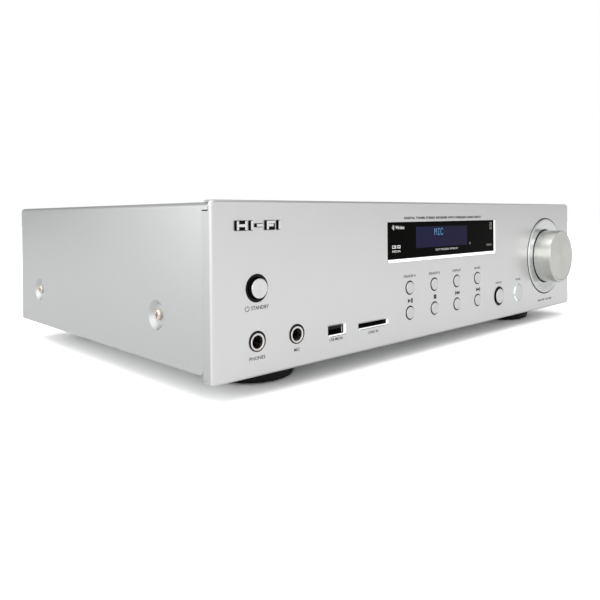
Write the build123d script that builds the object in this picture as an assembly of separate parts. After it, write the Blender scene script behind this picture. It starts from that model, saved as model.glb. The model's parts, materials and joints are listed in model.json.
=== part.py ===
from build123d import *
import math
import os

# Stereo receiver, millimetres. +X is to the right seen from the front, the front faces -Y, +Z is up.
# The origin is on the floor under the middle of the whole object, feet, knob and rear sockets included.

os.makedirs("parts", exist_ok=True)

# ---- driving dimensions: the outside --------------------------------------------------------------
PANEL_W, PANEL_T = 380.0, 6.3
PANEL_CORNER, PANEL_EDGE = 3.0, 1.7
BODY_DEPTH = 245.0  # front face of the panel to the rear edge of the cover
KNOB_PROUD = 13.8  # knob in front of the panel
REAR_PROUD = 11.0  # sockets behind the cover
DATUM = 11.1  # height above the floor of the line that all heights on the body are measured from
PANEL_LOW, PANEL_TOP = -0.8, 85.5  # the panel's edges from that line
TOTAL_DEPTH = KNOB_PROUD + BODY_DEPTH + REAR_PROUD
FRONT = KNOB_PROUD - TOTAL_DEPTH / 2  # y of the panel's front face
BACK = FRONT + BODY_DEPTH  # y of the cover's rear edge
HALF = PANEL_W / 2

# ---- driving dimensions: sheet metal --------------------------------------------------------------
SHEET = 1.0
COVER_LOW, COVER_TOP, COVER_BEND = 3.4, 84.4, 2.5
NOTCH_LOW, NOTCH_GAP = 80.2, 0.6  # notch at each upper corner of the panel, for a tongue of the cover
CHASSIS_LOW = 4.2
WALL_OUT = HALF - 3.1  # outer face of the chassis side walls
WALL_HIGH = 48.0
REAR_FACE = BODY_DEPTH - SHEET - 0.1  # outer face of the rear panel, from the front face
LIP_HIGH = 8.0
SCREW_R, SCREW_HEAD_R, SCREW_HEAD_H = 1.5, 2.9, 1.7  # M3 pan head
DIMPLE_R, DIMPLE_FLOOR_R, DIMPLE_DEEP = 7.5, 5.2, 2.0
SIDE_SCREW_HIGH = 27.3
SIDE_SCREW_BACK = (48.5, 209.0)
REAR_SCREW_X, REAR_LOW_SCREW_X, REAR_LOW_SCREW_HIGH = (-150.0, 0.0, 150.0), (-175.0, 20.0, 175.0), 9.5

# ---- driving dimensions: the front ----------------------------------------------------------------
# Places on the front are measured from the panel's left edge and from the datum line.
WINDOW_X, WINDOW_Z, WINDOW_LIP = (128.1, 254.3), (50.5, 73.2), 0.9
SILL_HIGH, SILL_DEEP = 2.4, 0.75
WINDOW_T, WINDOW_OVERLAP = 2.0, 2.9
LCD_X, LCD_Z = (161.1, 221.3), (56.4, 70.0)
FRAME_T = 2.0
BUTTON_X0, BUTTON_PITCH, BUTTON_ROWS = 149.8, 26.45, (32.15, 16.5)
BUTTON_R, BUTTON_GAP, BUTTON_PROUD = 3.8, 0.35, 0.7
FLANGE_FRONT, FLANGE_BACK, PLUNGER_END = 8.6, 9.8, 11.6
ACTUATOR_TOP, SWITCH_TOP, BOARD_FRONT, BOARD_T, JACK_BOARD_TOP = 12.9, 13.7, 17.2, 1.6, 9.0
STANDBY_AT, STANDBY_R, STANDBY_PROUD, STANDBY_RING_R = (27.3, 42.6), 5.15, 3.1, 7.0
INPUT_AT, PAIR_AT, ROUND_R, ROUND_RING_R = (259.3, 16.5), (288.8, 16.5), 5.9, 7.2
INPUT_R, INPUT_PROUD = 5.4, 1.1
JACKS = {"phones_jack": (27.3, 16.7), "mic_jack": (53.5, 16.7)}
JACK_NOSE_R, JACK_SLEEVE_R, JACK_BORE_R = 5.1, 3.9, 3.2
USB_AT, USB_SIZE = (83.45, 14.7), (12.2, 4.7)
CARD_AT, CARD_SIZE = (114.6, 14.05), (25.0, 2.5)
MOUTH_CHAMFER = 0.9
VOLUME_AT, RING_R, RING_GAP, RING_PROUD, RING_DEEP = (335.3, 42.6), 30.75, 0.55, 1.05, 4.0
KNOB_R, KNOB_GAP, KNOB_EDGE = 21.1, 0.9, 0.8
SHAFT_R, RUN_FIT = 3.0, 0.05
BADGE_X, BADGE_Z, BADGE_HIGH, BADGE_T, BADGE_BAR = 14.6, 71.0, 4.3, 1.2, 1.3

# ---- driving dimensions: underneath and inside ------------------------------------------------------
FOOT_IN, FOOT_FRONT, FOOT_BACK = 53.5, 39.2, 203.0
FOOT_R, FOOT_BASE_R = 26.9, 24.9
MAIN_BOARD = (-75.0, 172.0, 86.0, 236.0)  # x from, x to, then from and to behind the front face
MAIN_BOARD_HIGH = 13.4

# ---- driving dimensions: the back ------------------------------------------------------------------
LEVER_X = (65.0, 87.0, 109.0, 131.0)
LEVER_ROWS = {"a": 55.0, "b": 27.0}
LEVER_W, LEVER_H = 10.0, 10.5
LEVER_PIVOT, LEVER_PIN_R = (4.0, 1.9), 0.85  # pivot beyond the rear face and above the lever's lowest line
RCA_X, RCA_Z, RCA_R, RCA_LONG = (-56.0, -36.0, -16.0), (28.0, 46.0), 4.15, 9.0
ANTENNA_AT, ANTENNA_R, ANTENNA_FLANGE_R, ANTENNA_FLANGE_T = (-95.0, 58.0), 4.75, 6.4, 2.2
SWITCH_AT, INLET_AT = (-158.0, 58.0), (-158.0, 26.0)
ROCKER_PIVOT, ROCKER_TILT, ROCKER_REACH = 1.0, 10.0, 5.4  # pivot beyond the rear face; half the swing
ROCKER_W, ROCKER_PIN_R, RIM_PROUD = 14.0, 0.75, 2.6
PIN_LONG, PIN_PLAY, PIN_END_PLAY = 1.5, 0.1, 0.2  # length of a pin in its hole, and its clearances
POCKET_PLAY = 0.4  # between a lever or the rocker and the pocket's side walls


# ---- helpers ----------------------------------------------------------------------------------------
def y_at(depth):
    return FRONT + depth


def z_at(height):
    return DATUM + height


def block(x, depth, height):
    """A box from (low, high) pairs: x, distance behind the front face, height above the datum line."""
    size = [span[1] - span[0] for span in (x, depth, height)]
    middle = Pos((x[0] + x[1]) / 2, y_at((depth[0] + depth[1]) / 2), z_at((height[0] + height[1]) / 2))
    return middle * Box(*size)


def front_block(x, depth, height):
    """The same, with x measured from the panel's left edge."""
    return block([value - HALF for value in x], depth, height)


def rod(x, height, depth, radius):
    """A cylinder along Y."""
    middle = Pos(x, y_at((depth[0] + depth[1]) / 2), z_at(height))
    return middle * Rot(90, 0, 0) * Cylinder(radius, depth[1] - depth[0])


def front_rod(at, depth, radius):
    return rod(at[0] - HALF, at[1], depth, radius)


def post(x, depth, z, radius):
    """A vertical cylinder between two heights above the floor."""
    return Pos(x, y_at(depth), (z[0] + z[1]) / 2) * Cylinder(radius, z[1] - z[0])


def turned(at, outline):
    """A solid turned about the Y line through a place on the front, from (radius, depth) points."""
    sketch = make_face(Polyline(*outline, close=True))
    solid = revolve(Plane.XY * sketch, Axis.Y, 360)
    return Pos(at[0] - HALF, FRONT, z_at(at[1])) * solid


def mirrored_pair(solid):
    return [solid, mirror(solid, Plane.YZ)]


def group(solids):
    return Compound(children=list(solids))


def save(name, shape):
    export_step(shape, f"parts/{name}.step")


def mouth_edges(solid, at, size, depth):
    """The four edges of a rectangular mouth in the plane at one depth."""
    x, z, y = at[0] - HALF, z_at(at[1]), y_at(depth)
    reach_x, reach_z = size[0] / 2 + 0.1, size[1] / 2 + 0.1

    def on_mouth(edge):
        middle = edge.center()
        flat = abs(middle.Y - y) < 0.01 and edge.bounding_box().size.Y < 0.01
        return flat and abs(middle.X - x) < reach_x and abs(middle.Z - z) < reach_z

    return [edge for edge in solid.edges() if on_mouth(edge)]


def rect_mouth(at, size, depth, grow=0.0):
    x, z = at
    half_w, half_h = size[0] / 2 + grow, size[1] / 2 + grow
    return front_block((x - half_w, x + half_w), depth, (z - half_h, z + half_h))


BUTTONS = {
    "speaker_a_button": (0, 0),
    "speaker_b_button": (1, 0),
    "display_button": (2, 0),
    "band_button": (3, 0),
    "play_button": (0, 1),
    "stop_button": (1, 1),
    "previous_button": (2, 1),
    "next_button": (3, 1),
}


def button_at(name):
    column, row = BUTTONS[name]
    return (BUTTON_X0 + column * BUTTON_PITCH, BUTTON_ROWS[row])


# ---- front panel: a thick aluminium plate with rounded edges -----------------------------------------
def front_panel():
    plate = block((-HALF, HALF), (0, PANEL_T), (PANEL_LOW, PANEL_TOP))
    plate = fillet(plate.edges().filter_by(Axis.Y), PANEL_CORNER)
    plate = fillet(plate.faces().sort_by(Axis.Y)[0].edges(), PANEL_EDGE)
    through = (-1, PANEL_T + 1)
    plate -= front_block(WINDOW_X, through, WINDOW_Z)
    pocket_x = (WINDOW_X[0] - WINDOW_OVERLAP - 0.2, WINDOW_X[1] + WINDOW_OVERLAP + 0.2)
    pocket_z = (WINDOW_Z[0] - WINDOW_OVERLAP - 0.2, WINDOW_Z[1] + WINDOW_OVERLAP + 0.2)
    plate -= front_block(pocket_x, (WINDOW_LIP, PANEL_T + 1), pocket_z)
    plate -= window_sill()
    for name in BUTTONS:
        plate -= front_rod(button_at(name), through, BUTTON_R + BUTTON_GAP)
    plate -= front_rod(STANDBY_AT, through, STANDBY_RING_R)
    for at in (INPUT_AT, PAIR_AT):
        plate -= front_rod(at, through, ROUND_RING_R)
    for at in JACKS.values():
        plate -= front_rod(at, through, JACK_NOSE_R + 0.05)
    for at, size in ((USB_AT, USB_SIZE), (CARD_AT, CARD_SIZE)):
        plate -= rect_mouth(at, size, through)
        plate = chamfer(mouth_edges(plate, at, size, 0), MOUTH_CHAMFER)
        plate -= rect_mouth(at, size, (1.2, PANEL_T + 1), grow=1.0)
    plate -= front_rod(VOLUME_AT, (-1, RING_DEEP), RING_R + RING_GAP)
    plate -= front_rod(VOLUME_AT, through, 8.0)
    corner = block((-HALF - 1, -HALF + 3.5), (1.5, PANEL_T + 1), (NOTCH_LOW, COVER_TOP + 0.15))
    for notch in mirrored_pair(corner):
        plate -= notch
    return plate


def window_sill():
    """The sloping strip along the lower edge of the display opening."""
    low, high = WINDOW_Z[0] - SILL_HIGH, WINDOW_Z[0] + 0.5
    outline = [
        (y_at(-0.5), z_at(low - 0.5 * SILL_HIGH / SILL_DEEP)),
        (y_at(SILL_DEEP), z_at(WINDOW_Z[0])),
        (y_at(SILL_DEEP), z_at(high)),
        (y_at(-0.5), z_at(high)),
    ]
    face = Plane.YZ * make_face(Polyline(*outline, close=True))
    return Pos(WINDOW_X[0] - HALF, 0, 0) * extrude(face, WINDOW_X[1] - WINDOW_X[0])


def front_frame():
    """Moulded carrier behind the panel, with a hole for everything that comes through it."""
    wide, back = HALF - 4.6, PANEL_T + FRAME_T
    frame = block((-wide, wide), (PANEL_T, back), (5.6, 83.4))
    for low in (5.6, 81.9):
        frame += block((-wide, wide), (back, back + 9), (low, low + 1.5))
    through = (PANEL_T - 1, back + 1)
    grown_x = (WINDOW_X[0] - 1.5, WINDOW_X[1] + 1.5)
    frame -= front_block(grown_x, through, (WINDOW_Z[0] - 1, WINDOW_Z[1] + 1))
    for name in BUTTONS:
        frame -= front_rod(button_at(name), through, BUTTON_R + BUTTON_GAP)
    frame -= front_rod(STANDBY_AT, through, STANDBY_RING_R + 1.3)
    for at in (INPUT_AT, PAIR_AT):
        frame -= front_rod(at, through, ROUND_RING_R + 1.3)
    for at in JACKS.values():
        frame -= front_rod(at, through, JACK_NOSE_R + 0.2)
    for at, size in ((USB_AT, USB_SIZE), (CARD_AT, CARD_SIZE)):
        frame -= rect_mouth(at, size, through, grow=1.2)
    frame -= front_rod(VOLUME_AT, through, 4.5)
    return frame


def display_window():
    x = (WINDOW_X[0] - WINDOW_OVERLAP, WINDOW_X[1] + WINDOW_OVERLAP)
    z = (WINDOW_Z[0] - WINDOW_OVERLAP, WINDOW_Z[1] + WINDOW_OVERLAP)
    return front_block(x, (WINDOW_LIP, WINDOW_LIP + WINDOW_T), z)


def display_module():
    """Dot-matrix module: a glass block in a metal bezel, with a small circuit board behind it."""
    glass_front = WINDOW_LIP + WINDOW_T + 0.1
    glass = front_block(LCD_X, (glass_front, glass_front + 2), LCD_Z)
    bezel_x, bezel_z = (LCD_X[0] - 8, LCD_X[1] + 8), (LCD_Z[0] - 3.5, LCD_Z[1] + 3)
    bezel = front_block(bezel_x, (glass_front + 1, glass_front + 7), bezel_z)
    board_x, board_z = (bezel_x[0] - 4, bezel_x[1] + 4), (bezel_z[0] - 3, bezel_z[1] + 3)
    board = front_block(board_x, (glass_front + 7, glass_front + 8.6), board_z)
    return glass + bezel + board


def badge():
    """Plain raised letters H I - F I, each made of straight bars."""
    bar, top = BADGE_BAR, BADGE_Z + BADGE_HIGH
    middle = BADGE_Z + (BADGE_HIGH - bar) / 2
    proud = (-BADGE_T, 0)

    def upright(x):
        return front_block((x, x + bar), proud, (BADGE_Z, top))

    def across(x, wide, low):
        return front_block((x, x + wide), proud, (low, low + bar))

    h_wide, dash_wide, f_wide, space = 6.2, 4.0, 5.4, 2.3
    h_x = BADGE_X
    i_x = h_x + h_wide + space
    dash_x = i_x + bar + space
    f_x = dash_x + dash_wide + space
    last_x = f_x + f_wide + space
    letter_h = upright(h_x) + upright(h_x + h_wide - bar) + across(h_x, h_wide, middle)
    letter_f = upright(f_x) + across(f_x, f_wide, top - bar) + across(f_x, f_wide * 0.8, middle)
    return group([letter_h, upright(i_x), across(dash_x, dash_wide, middle), letter_f, upright(last_x)])


# ---- the volume control ----------------------------------------------------------------------------
def volume_ring():
    inner, face = KNOB_R + KNOB_GAP, -RING_PROUD
    outline = [
        (inner, RING_DEEP),
        (RING_R, RING_DEEP),
        (RING_R, face + 0.7),
        (RING_R - 0.7, face),
        (RING_R - 1.6, face),
        (inner + 0.5, face + 0.5),
        (inner, face + 0.9),
    ]
    return turned(VOLUME_AT, outline)


def volume_knob():
    """A turned aluminium cup with a boss that presses onto the shaft."""
    face, rim, skin, boss = -KNOB_PROUD, 1.5, 2.0, 6.0
    outline = [
        (0, face + 0.25),
        (KNOB_R - 2.2, face + 0.25),
        (KNOB_R - 1.6, face),
        (KNOB_R - KNOB_EDGE, face),
        (KNOB_R, face + KNOB_EDGE),
        (KNOB_R, rim),
        (KNOB_R - skin, rim),
        (KNOB_R - skin, face + 3),
        (boss, face + 3),
        (boss, rim + 1),
        (SHAFT_R, rim + 1),
        (SHAFT_R, face + 4.5),
        (0, face + 4.5),
    ]
    return turned(VOLUME_AT, outline)


def volume_shaft():
    return front_rod(VOLUME_AT, (4.5 - KNOB_PROUD, 11.8), SHAFT_R)


def volume_encoder():
    """Rotary encoder: body behind the frame, threaded bush through it and a nut in front."""
    x, z = VOLUME_AT
    body = front_block((x - 6.5, x + 6.5), (8.5, 15), (z - 6.5, z + 6.5))
    body += front_rod(VOLUME_AT, (3, 8.5), 4.4)
    body += front_rod(VOLUME_AT, (4.2, 6.0), 6.2)
    body -= front_rod(VOLUME_AT, (2, 12.5), SHAFT_R + RUN_FIT)
    return body


# ---- buttons and their rings -----------------------------------------------------------------------
def button(at, radius, proud, dish=0.0):
    """A cap with a retaining flange and a plunger that reaches towards its switch."""
    outline = [
        (0, dish - proud),
        (radius - 0.8, -proud),
        (radius - 0.35, -proud),
        (radius, 0.35 - proud),
        (radius, FLANGE_FRONT),
        (radius + 1.1, FLANGE_FRONT),
        (radius + 1.1, FLANGE_BACK),
        (1.6, FLANGE_BACK),
        (1.6, PLUNGER_END),
        (0, PLUNGER_END),
    ]
    return turned(at, outline)


def ring(at, outer, inner, front):
    """A bezel that fills the panel's hole and holds the button's flange behind it."""
    outline = [
        (inner, front + 0.4),
        (inner + 0.4, front),
        (outer - 0.05, front),
        (outer - 0.05, PANEL_T),
        (outer + 1.2, PANEL_T),
        (outer + 1.2, PANEL_T + FRAME_T),
        (inner, PANEL_T + FRAME_T),
    ]
    return turned(at, outline)


def tact_switches():
    places = [button_at(name) for name in BUTTONS] + [STANDBY_AT, INPUT_AT, PAIR_AT]
    switches = []
    for x, z in places:
        body = front_block((x - 3.1, x + 3.1), (SWITCH_TOP, BOARD_FRONT), (z - 3.1, z + 3.1))
        switches.append(body + front_rod((x, z), (ACTUATOR_TOP, SWITCH_TOP), 1.7))
    return group(switches)


# ---- sockets in the front --------------------------------------------------------------------------
def jack(at):
    """Moulded quarter-inch jack: a nose through the panel and a body on the small board."""
    x, z = at
    body = front_block((x - 7.2, x + 7.2), (8.6, 38), (z - 7.2, z + 6.6))
    body += front_rod(at, (-0.35, 8.6), JACK_NOSE_R)
    body -= front_rod(at, (-1, 9.05), JACK_SLEEVE_R + 0.02)
    body -= front_rod(at, (9, 34), JACK_BORE_R + 0.1)
    return body


def jack_sleeves():
    def sleeve(at):
        lip = [(JACK_BORE_R, -0.1), (JACK_SLEEVE_R - 0.2, -0.3), (JACK_SLEEVE_R, 0.0)]
        return turned(at, lip + [(JACK_SLEEVE_R, 9), (JACK_BORE_R, 9)])

    return group(sleeve(at) for at in JACKS.values())


def usb_port():
    """Metal shell with a contact tongue, on a base that stands on the small board."""
    wide, high, skin = 12.5, 5.1, 0.4
    port = rect_mouth(USB_AT, (wide, high), (1.3, 16), grow=skin)
    port -= rect_mouth(USB_AT, (wide, high), (0, 15.2))
    tongue_z = USB_AT[1] + 0.9
    port += front_block((USB_AT[0] - 5.5, USB_AT[0] + 5.5), (2.8, 15.5), (tongue_z - 0.9, tongue_z + 0.9))
    base_top = USB_AT[1] - high / 2 - 0.2
    port += front_block((USB_AT[0] - 6.4, USB_AT[0] + 6.4), (9, 16), (JACK_BOARD_TOP, base_top))
    return port


def card_slot():
    """Flat cage for a memory card, open at the front, on a base that stands on the small board."""
    skin = 0.5
    cage = rect_mouth(CARD_AT, CARD_SIZE, (1.3, 29), grow=skin)
    cage -= rect_mouth(CARD_AT, CARD_SIZE, (0, 27.5))
    base_top = CARD_AT[1] - CARD_SIZE[1] / 2 - 0.2
    cage += front_block((CARD_AT[0] - 13, CARD_AT[0] + 13), (9, 29), (JACK_BOARD_TOP, base_top))
    return cage


# ---- circuit boards ---------------------------------------------------------------------------------
def front_board():
    board_y = (BOARD_FRONT, BOARD_FRONT + BOARD_T)
    board = front_block((14, 304), board_y, (26, 78))
    board += front_block((138, 304), board_y, (9, 27))
    for x, z in ((20, 74), (150, 76), (298, 74), (298, 12)):
        board -= front_rod((x, z), (BOARD_FRONT - 1, BOARD_FRONT + 3), 1.6)
    return board


def jack_board():
    board = front_block((14, 134), (9, 46), (JACK_BOARD_TOP - BOARD_T, JACK_BOARD_TOP))
    for x in (17.5, 68, 130.5):
        board -= post(x - HALF, 42, (z_at(5), z_at(12)), 1.6)
    return board


BOARD_HOLES = [
    (x, depth)
    for x in (MAIN_BOARD[0] + 6, 48.0, MAIN_BOARD[1] - 6)
    for depth in (MAIN_BOARD[2] + 6, MAIN_BOARD[3] - 8)
]


def main_board():
    x, depth = MAIN_BOARD[:2], MAIN_BOARD[2:]
    board = block(x, depth, (MAIN_BOARD_HIGH, MAIN_BOARD_HIGH + BOARD_T))
    for at_x, at_y in BOARD_HOLES:
        board -= post(at_x, at_y, (z_at(MAIN_BOARD_HIGH - 1), z_at(MAIN_BOARD_HIGH + 3)), 1.6)
    return board


def board_screws():
    top = z_at(MAIN_BOARD_HIGH + BOARD_T)
    screws = []
    for x, depth in BOARD_HOLES:
        head = post(x, depth, (top, top + SCREW_HEAD_H), SCREW_HEAD_R)
        head -= post(x, depth, (top + 0.8, top + SCREW_HEAD_H + 1), 1.1)
        screws.append(head + post(x, depth, (top - 6, top), 1.25))
    return group(screws)


def heat_sink():
    """A back plate with upright fins, standing on the main board."""
    x, depth, fins = (-58.0, 42.0), (104.0, 132.0), 13
    low, high = MAIN_BOARD_HIGH + BOARD_T, 74.0
    sink = block(x, (depth[1] - 4, depth[1]), (low, high))
    pitch = (x[1] - x[0] - 2) / (fins - 1)
    for index in range(fins):
        fin_x = x[0] + index * pitch
        sink += block((fin_x, fin_x + 2), (depth[0], depth[1] - 3), (low, high))
    return sink


def power_transistors():
    """Four output devices bolted flat against the heat sink, with their legs in the board."""
    devices = []
    for x in (-45.0, -20.0, 5.0, 30.0):
        body = block((x - 7.5, x + 7.5), (132.0, 137.0), (28, 48))
        for leg in (-5.0, 0.0, 5.0):
            body += block((x + leg - 0.6, x + leg + 0.6), (134.0, 134.8), (MAIN_BOARD_HIGH + BOARD_T, 28.5))
        devices.append(body)
    return group(devices)


def filter_capacitors():
    """Two large smoothing capacitors and a row of small ones."""
    base = z_at(MAIN_BOARD_HIGH + BOARD_T)
    large = [(66.0, 122.0), (66.0, 158.0)]
    small = [(105.0 + 17 * index, 116.0) for index in range(4)]
    cans = []
    for places, radius, high in ((large, 15.0, 45.0), (small, 6.5, 22.0)):
        for x, depth in places:
            can = post(x, depth, (base, base + high), radius)
            can = fillet(can.faces().sort_by(Axis.Z)[-1].edges(), 1.2)
            cans.append(can)
    return group(cans)


def transformer():
    """Laminated core round a winding, on two feet."""
    x, depth, low = (-156.0, -90.0), (74.0, 118.0), CHASSIS_LOW + SHEET
    core = block(x, (depth[0] + 6, depth[1] - 6), (low, low + 56))
    middle_x = (x[0] + x[1]) / 2
    winding = block((middle_x - 22, middle_x + 22), (depth[0] - 6, depth[1] + 6), (low + 10, low + 46))
    winding = fillet(winding.edges().filter_by(Axis.Z), 5)
    feet = block((x[0] - 10, x[1] + 10), (depth[0] + 10, depth[1] - 10), (low, low + 2))
    for hole_x in (x[0] - 5.5, x[1] + 5.5):
        feet -= post(hole_x, (depth[0] + depth[1]) / 2, (z_at(low - 1), z_at(low + 4)), 2.1)
    return core + winding + feet


def tuner_can():
    low = MAIN_BOARD_HIGH + BOARD_T
    can = block((-72, -24), (186, 222), (low, low + 11))
    can = fillet(can.edges().filter_by(Axis.Z), 1.5)
    for x in (-60, -36):
        can -= post(x, 204, (z_at(low + 6), z_at(low + 12)), 2.4)
    return can


def ribbon_cable():
    """Flat cable from the front board to the main board, with a plug on each end."""
    wide, thick = (-8.0, 24.0), 0.9
    start, end = BOARD_FRONT + BOARD_T, MAIN_BOARD[2] + 12
    low = MAIN_BOARD_HIGH + BOARD_T
    corners = [(y_at(start + 4), z_at(46)), (y_at(start + 26), z_at(46)), (y_at(end - 34), z_at(low + 5.5)),
               (y_at(end - 5), z_at(low + 5.5))]
    path = FilletPolyline(*corners, radius=12)
    strip = extrude(Plane.YZ * trace(path, thick), wide[1] - wide[0])
    cable = Pos(wide[0], 0, 0) * strip
    cable += block((wide[0] - 1, wide[1] + 1), (start, start + 6), (43, 49))
    cable += block((wide[0] - 1, wide[1] + 1), (end - 8, end), (low, low + 8))
    return cable


# ---- shell ------------------------------------------------------------------------------------------
def dimple_places():
    return [(depth, SIDE_SCREW_HIGH) for depth in SIDE_SCREW_BACK]


def side_cone(side, depth, height, outer, inner, near, far):
    """A cone along X, its wide end at distance near from the side face and its narrow end at far."""
    cone = Cone(outer, inner, far - near)
    turn = Rot(0, 90, 0) if side < 0 else Rot(0, -90, 0)
    return Pos(side * (HALF - (near + far) / 2), y_at(depth), z_at(height)) * turn * cone


def side_rod(side, depth, height, near, far, radius):
    """A cylinder along X between two distances from the side face."""
    middle = Pos(side * (HALF - (near + far) / 2), y_at(depth), z_at(height))
    return middle * Rot(0, 90, 0) * Cylinder(radius, far - near)


def top_cover():
    """Folded sheet: top, two sides with screw dimples, a rear lip, and a tongue at each front corner."""
    start = PANEL_T + 0.05
    deep, high = (1.7, BODY_DEPTH), (COVER_LOW, COVER_TOP)
    skin = block((-HALF, HALF), deep, high)
    skin = fillet(skin.edges().filter_by(Axis.Y).group_by(Axis.Z)[-1], COVER_BEND)
    skin = fillet(skin.faces().sort_by(Axis.Y)[-1].edges().sort_by(Axis.Z)[-1], COVER_BEND - 0.1)
    hollow = block((-HALF + SHEET, HALF - SHEET), (0, BODY_DEPTH - SHEET), (0, COVER_TOP - SHEET))
    skin -= fillet(hollow.edges().filter_by(Axis.Y).group_by(Axis.Z)[-1], COVER_BEND - SHEET)
    skin -= block((-HALF + SHEET, HALF - SHEET), (BODY_DEPTH - 3, BODY_DEPTH + 1), (0, COVER_TOP - LIP_HIGH))
    below_tongue = block((-HALF - 1, -HALF + 3), (0, start), (0, NOTCH_LOW + NOTCH_GAP))
    for front in mirrored_pair(below_tongue):
        skin -= front
    skin -= block((-HALF + 3, HALF - 3), (0, start), (0, COVER_TOP + 1))
    bottom_corners = skin.edges().filter_by(Axis.X).group_by(Axis.Z)[0].sort_by(Axis.Y)[-2:]
    skin = fillet(bottom_corners, 3.0)
    wide, narrow = (DIMPLE_R + 0.6, DIMPLE_R + 0.5), (DIMPLE_FLOOR_R + 0.6, DIMPLE_FLOOR_R)
    for side in (-1, 1):
        for depth, height in dimple_places():
            skin += side_cone(side, depth, height, wide[0], narrow[0], 0.3, DIMPLE_DEEP + SHEET)
            skin -= side_cone(side, depth, height, wide[1], narrow[1], -0.2, DIMPLE_DEEP)
            skin -= side_rod(side, depth, height, 0, 5, SCREW_R + 0.2)
    for x in REAR_SCREW_X:
        skin -= rod(x, COVER_TOP - LIP_HIGH / 2, (BODY_DEPTH - 3, BODY_DEPTH + 1), SCREW_R + 0.2)
    for slot in vent_slots():
        skin -= slot
    return skin


def vent_slots():
    """Three banks of narrow slots over the transformer, the heat sink and the boards."""
    slots = []
    for bank_x in (-120.0, 0.0, 120.0):
        for row_depth in (92.0, 134.0, 176.0):
            for index in range(9):
                x = bank_x + (index - 4) * 7.5
                sketch = Plane.XY * Pos(x, y_at(row_depth)) * Rot(0, 0, 90) * SlotOverall(34, 3)
                slots.append(Pos(0, 0, z_at(COVER_TOP - 3)) * extrude(sketch, 6))
    return slots


def bottom_chassis():
    """Folded tray with two side walls, a low rear wall, board bosses and air slots."""
    depth = (PANEL_T + 0.3, REAR_FACE - SHEET - 0.1)
    floor_z = (CHASSIS_LOW, CHASSIS_LOW + SHEET)
    tray = block((-WALL_OUT, WALL_OUT), depth, floor_z)
    for wall in mirrored_pair(block((-WALL_OUT, SHEET - WALL_OUT), depth, (CHASSIS_LOW, WALL_HIGH))):
        tray += wall
    tray += block((-WALL_OUT, WALL_OUT), (depth[1] - SHEET, depth[1]), (CHASSIS_LOW, 13))
    for side in (-1, 1):
        for back, height in dimple_places():
            tray -= side_rod(side, back, height, 0, 8, SCREW_R + 0.05)
    for x in REAR_LOW_SCREW_X:
        tray -= rod(x, REAR_LOW_SCREW_HIGH, (depth[1] - 3, depth[1] + 1), SCREW_R + 0.05)
    for x, back in foot_places():
        tray -= post(x, back, (z_at(CHASSIS_LOW - 1), z_at(CHASSIS_LOW + 3)), 2.1)
    for x, back in BOARD_HOLES:
        tray += post(x, back, (z_at(CHASSIS_LOW + 0.5), z_at(MAIN_BOARD_HIGH)), 3.2)
        tray -= post(x, back, (z_at(CHASSIS_LOW - 1), z_at(MAIN_BOARD_HIGH + 1)), 1.3)
    for index in range(12):
        x = -60 + index * 8
        tray -= block((x, x + 3), (140, 176), (CHASSIS_LOW - 1, CHASSIS_LOW + 2))
    return tray


def rear_panel():
    """Flat sheet with a cut-out for each socket."""
    face = (REAR_FACE - SHEET, REAR_FACE)
    wide = HALF - SHEET - 0.4
    sheet = block((-wide, wide), face, (CHASSIS_LOW + 0.1, COVER_TOP - SHEET - 0.2))
    sheet = fillet(sheet.edges().filter_by(Axis.Y).group_by(Axis.Z)[-1], COVER_BEND)
    through = (face[0] - 1, face[1] + 1)
    sheet -= block((LEVER_X[0] - 10, LEVER_X[-1] + 10), through, (LEVER_ROWS["b"] - 9, LEVER_ROWS["a"] + 13))
    for x in RCA_X:
        for z in RCA_Z:
            sheet -= rod(x, z, through, RCA_R + 1.4)
    sheet -= rod(*ANTENNA_AT, through, ANTENNA_R + 0.2)
    sheet -= block(*socket_cut(SWITCH_AT, 9.7, 6.7, through))
    sheet -= block(*socket_cut(INLET_AT, 11.2, 7.7, through))
    for x in REAR_SCREW_X:
        sheet -= rod(x, COVER_TOP - LIP_HIGH / 2, through, SCREW_R + 0.05)
    for x in REAR_LOW_SCREW_X:
        sheet -= rod(x, REAR_LOW_SCREW_HIGH, through, SCREW_R + 0.2)
    return sheet


def socket_cut(at, half_w, half_h, depth):
    return (at[0] - half_w, at[0] + half_w), depth, (at[1] - half_h, at[1] + half_h)


def cover_screws():
    """Identical pan-head screws: four in the sides, three in the rear lip, three low in the rear panel."""
    screws = []
    for side in (-1, 1):
        for depth, height in dimple_places():
            head = side_rod(side, depth, height, DIMPLE_DEEP - SCREW_HEAD_H, DIMPLE_DEEP, SCREW_HEAD_R)
            outer = head.faces().sort_by(Axis.X)[0 if side < 0 else -1]
            head = fillet(outer.edges(), 0.8)
            near = DIMPLE_DEEP - SCREW_HEAD_H
            for turn in (0, 90):
                slot = Box(2.2, 0.75, 3.2)
                place = Pos(side * (HALF - near), y_at(depth), z_at(height)) * Rot(turn, 0, 0)
                head -= place * slot
            screws.append(head + side_rod(side, depth, height, DIMPLE_DEEP, DIMPLE_DEEP + 6, SCREW_R))
    rear = [(x, COVER_TOP - LIP_HIGH / 2, BODY_DEPTH) for x in REAR_SCREW_X]
    rear += [(x, REAR_LOW_SCREW_HIGH, REAR_FACE) for x in REAR_LOW_SCREW_X]
    for x, height, face in rear:
        head = rod(x, height, (face, face + SCREW_HEAD_H), SCREW_HEAD_R)
        head = fillet(head.faces().sort_by(Axis.Y)[-1].edges(), 0.8)
        for turn in (0, 90):
            head -= Pos(x, y_at(face + SCREW_HEAD_H), z_at(height)) * Rot(0, turn, 0) * Box(3.2, 2.2, 0.75)
        screws.append(head + rod(x, height, (face - 6, face), SCREW_R))
    return group(screws)


# ---- feet -------------------------------------------------------------------------------------------
def foot_places():
    return [(side * (HALF - FOOT_IN), depth) for depth in (FOOT_FRONT, FOOT_BACK) for side in (-1, 1)]


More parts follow.
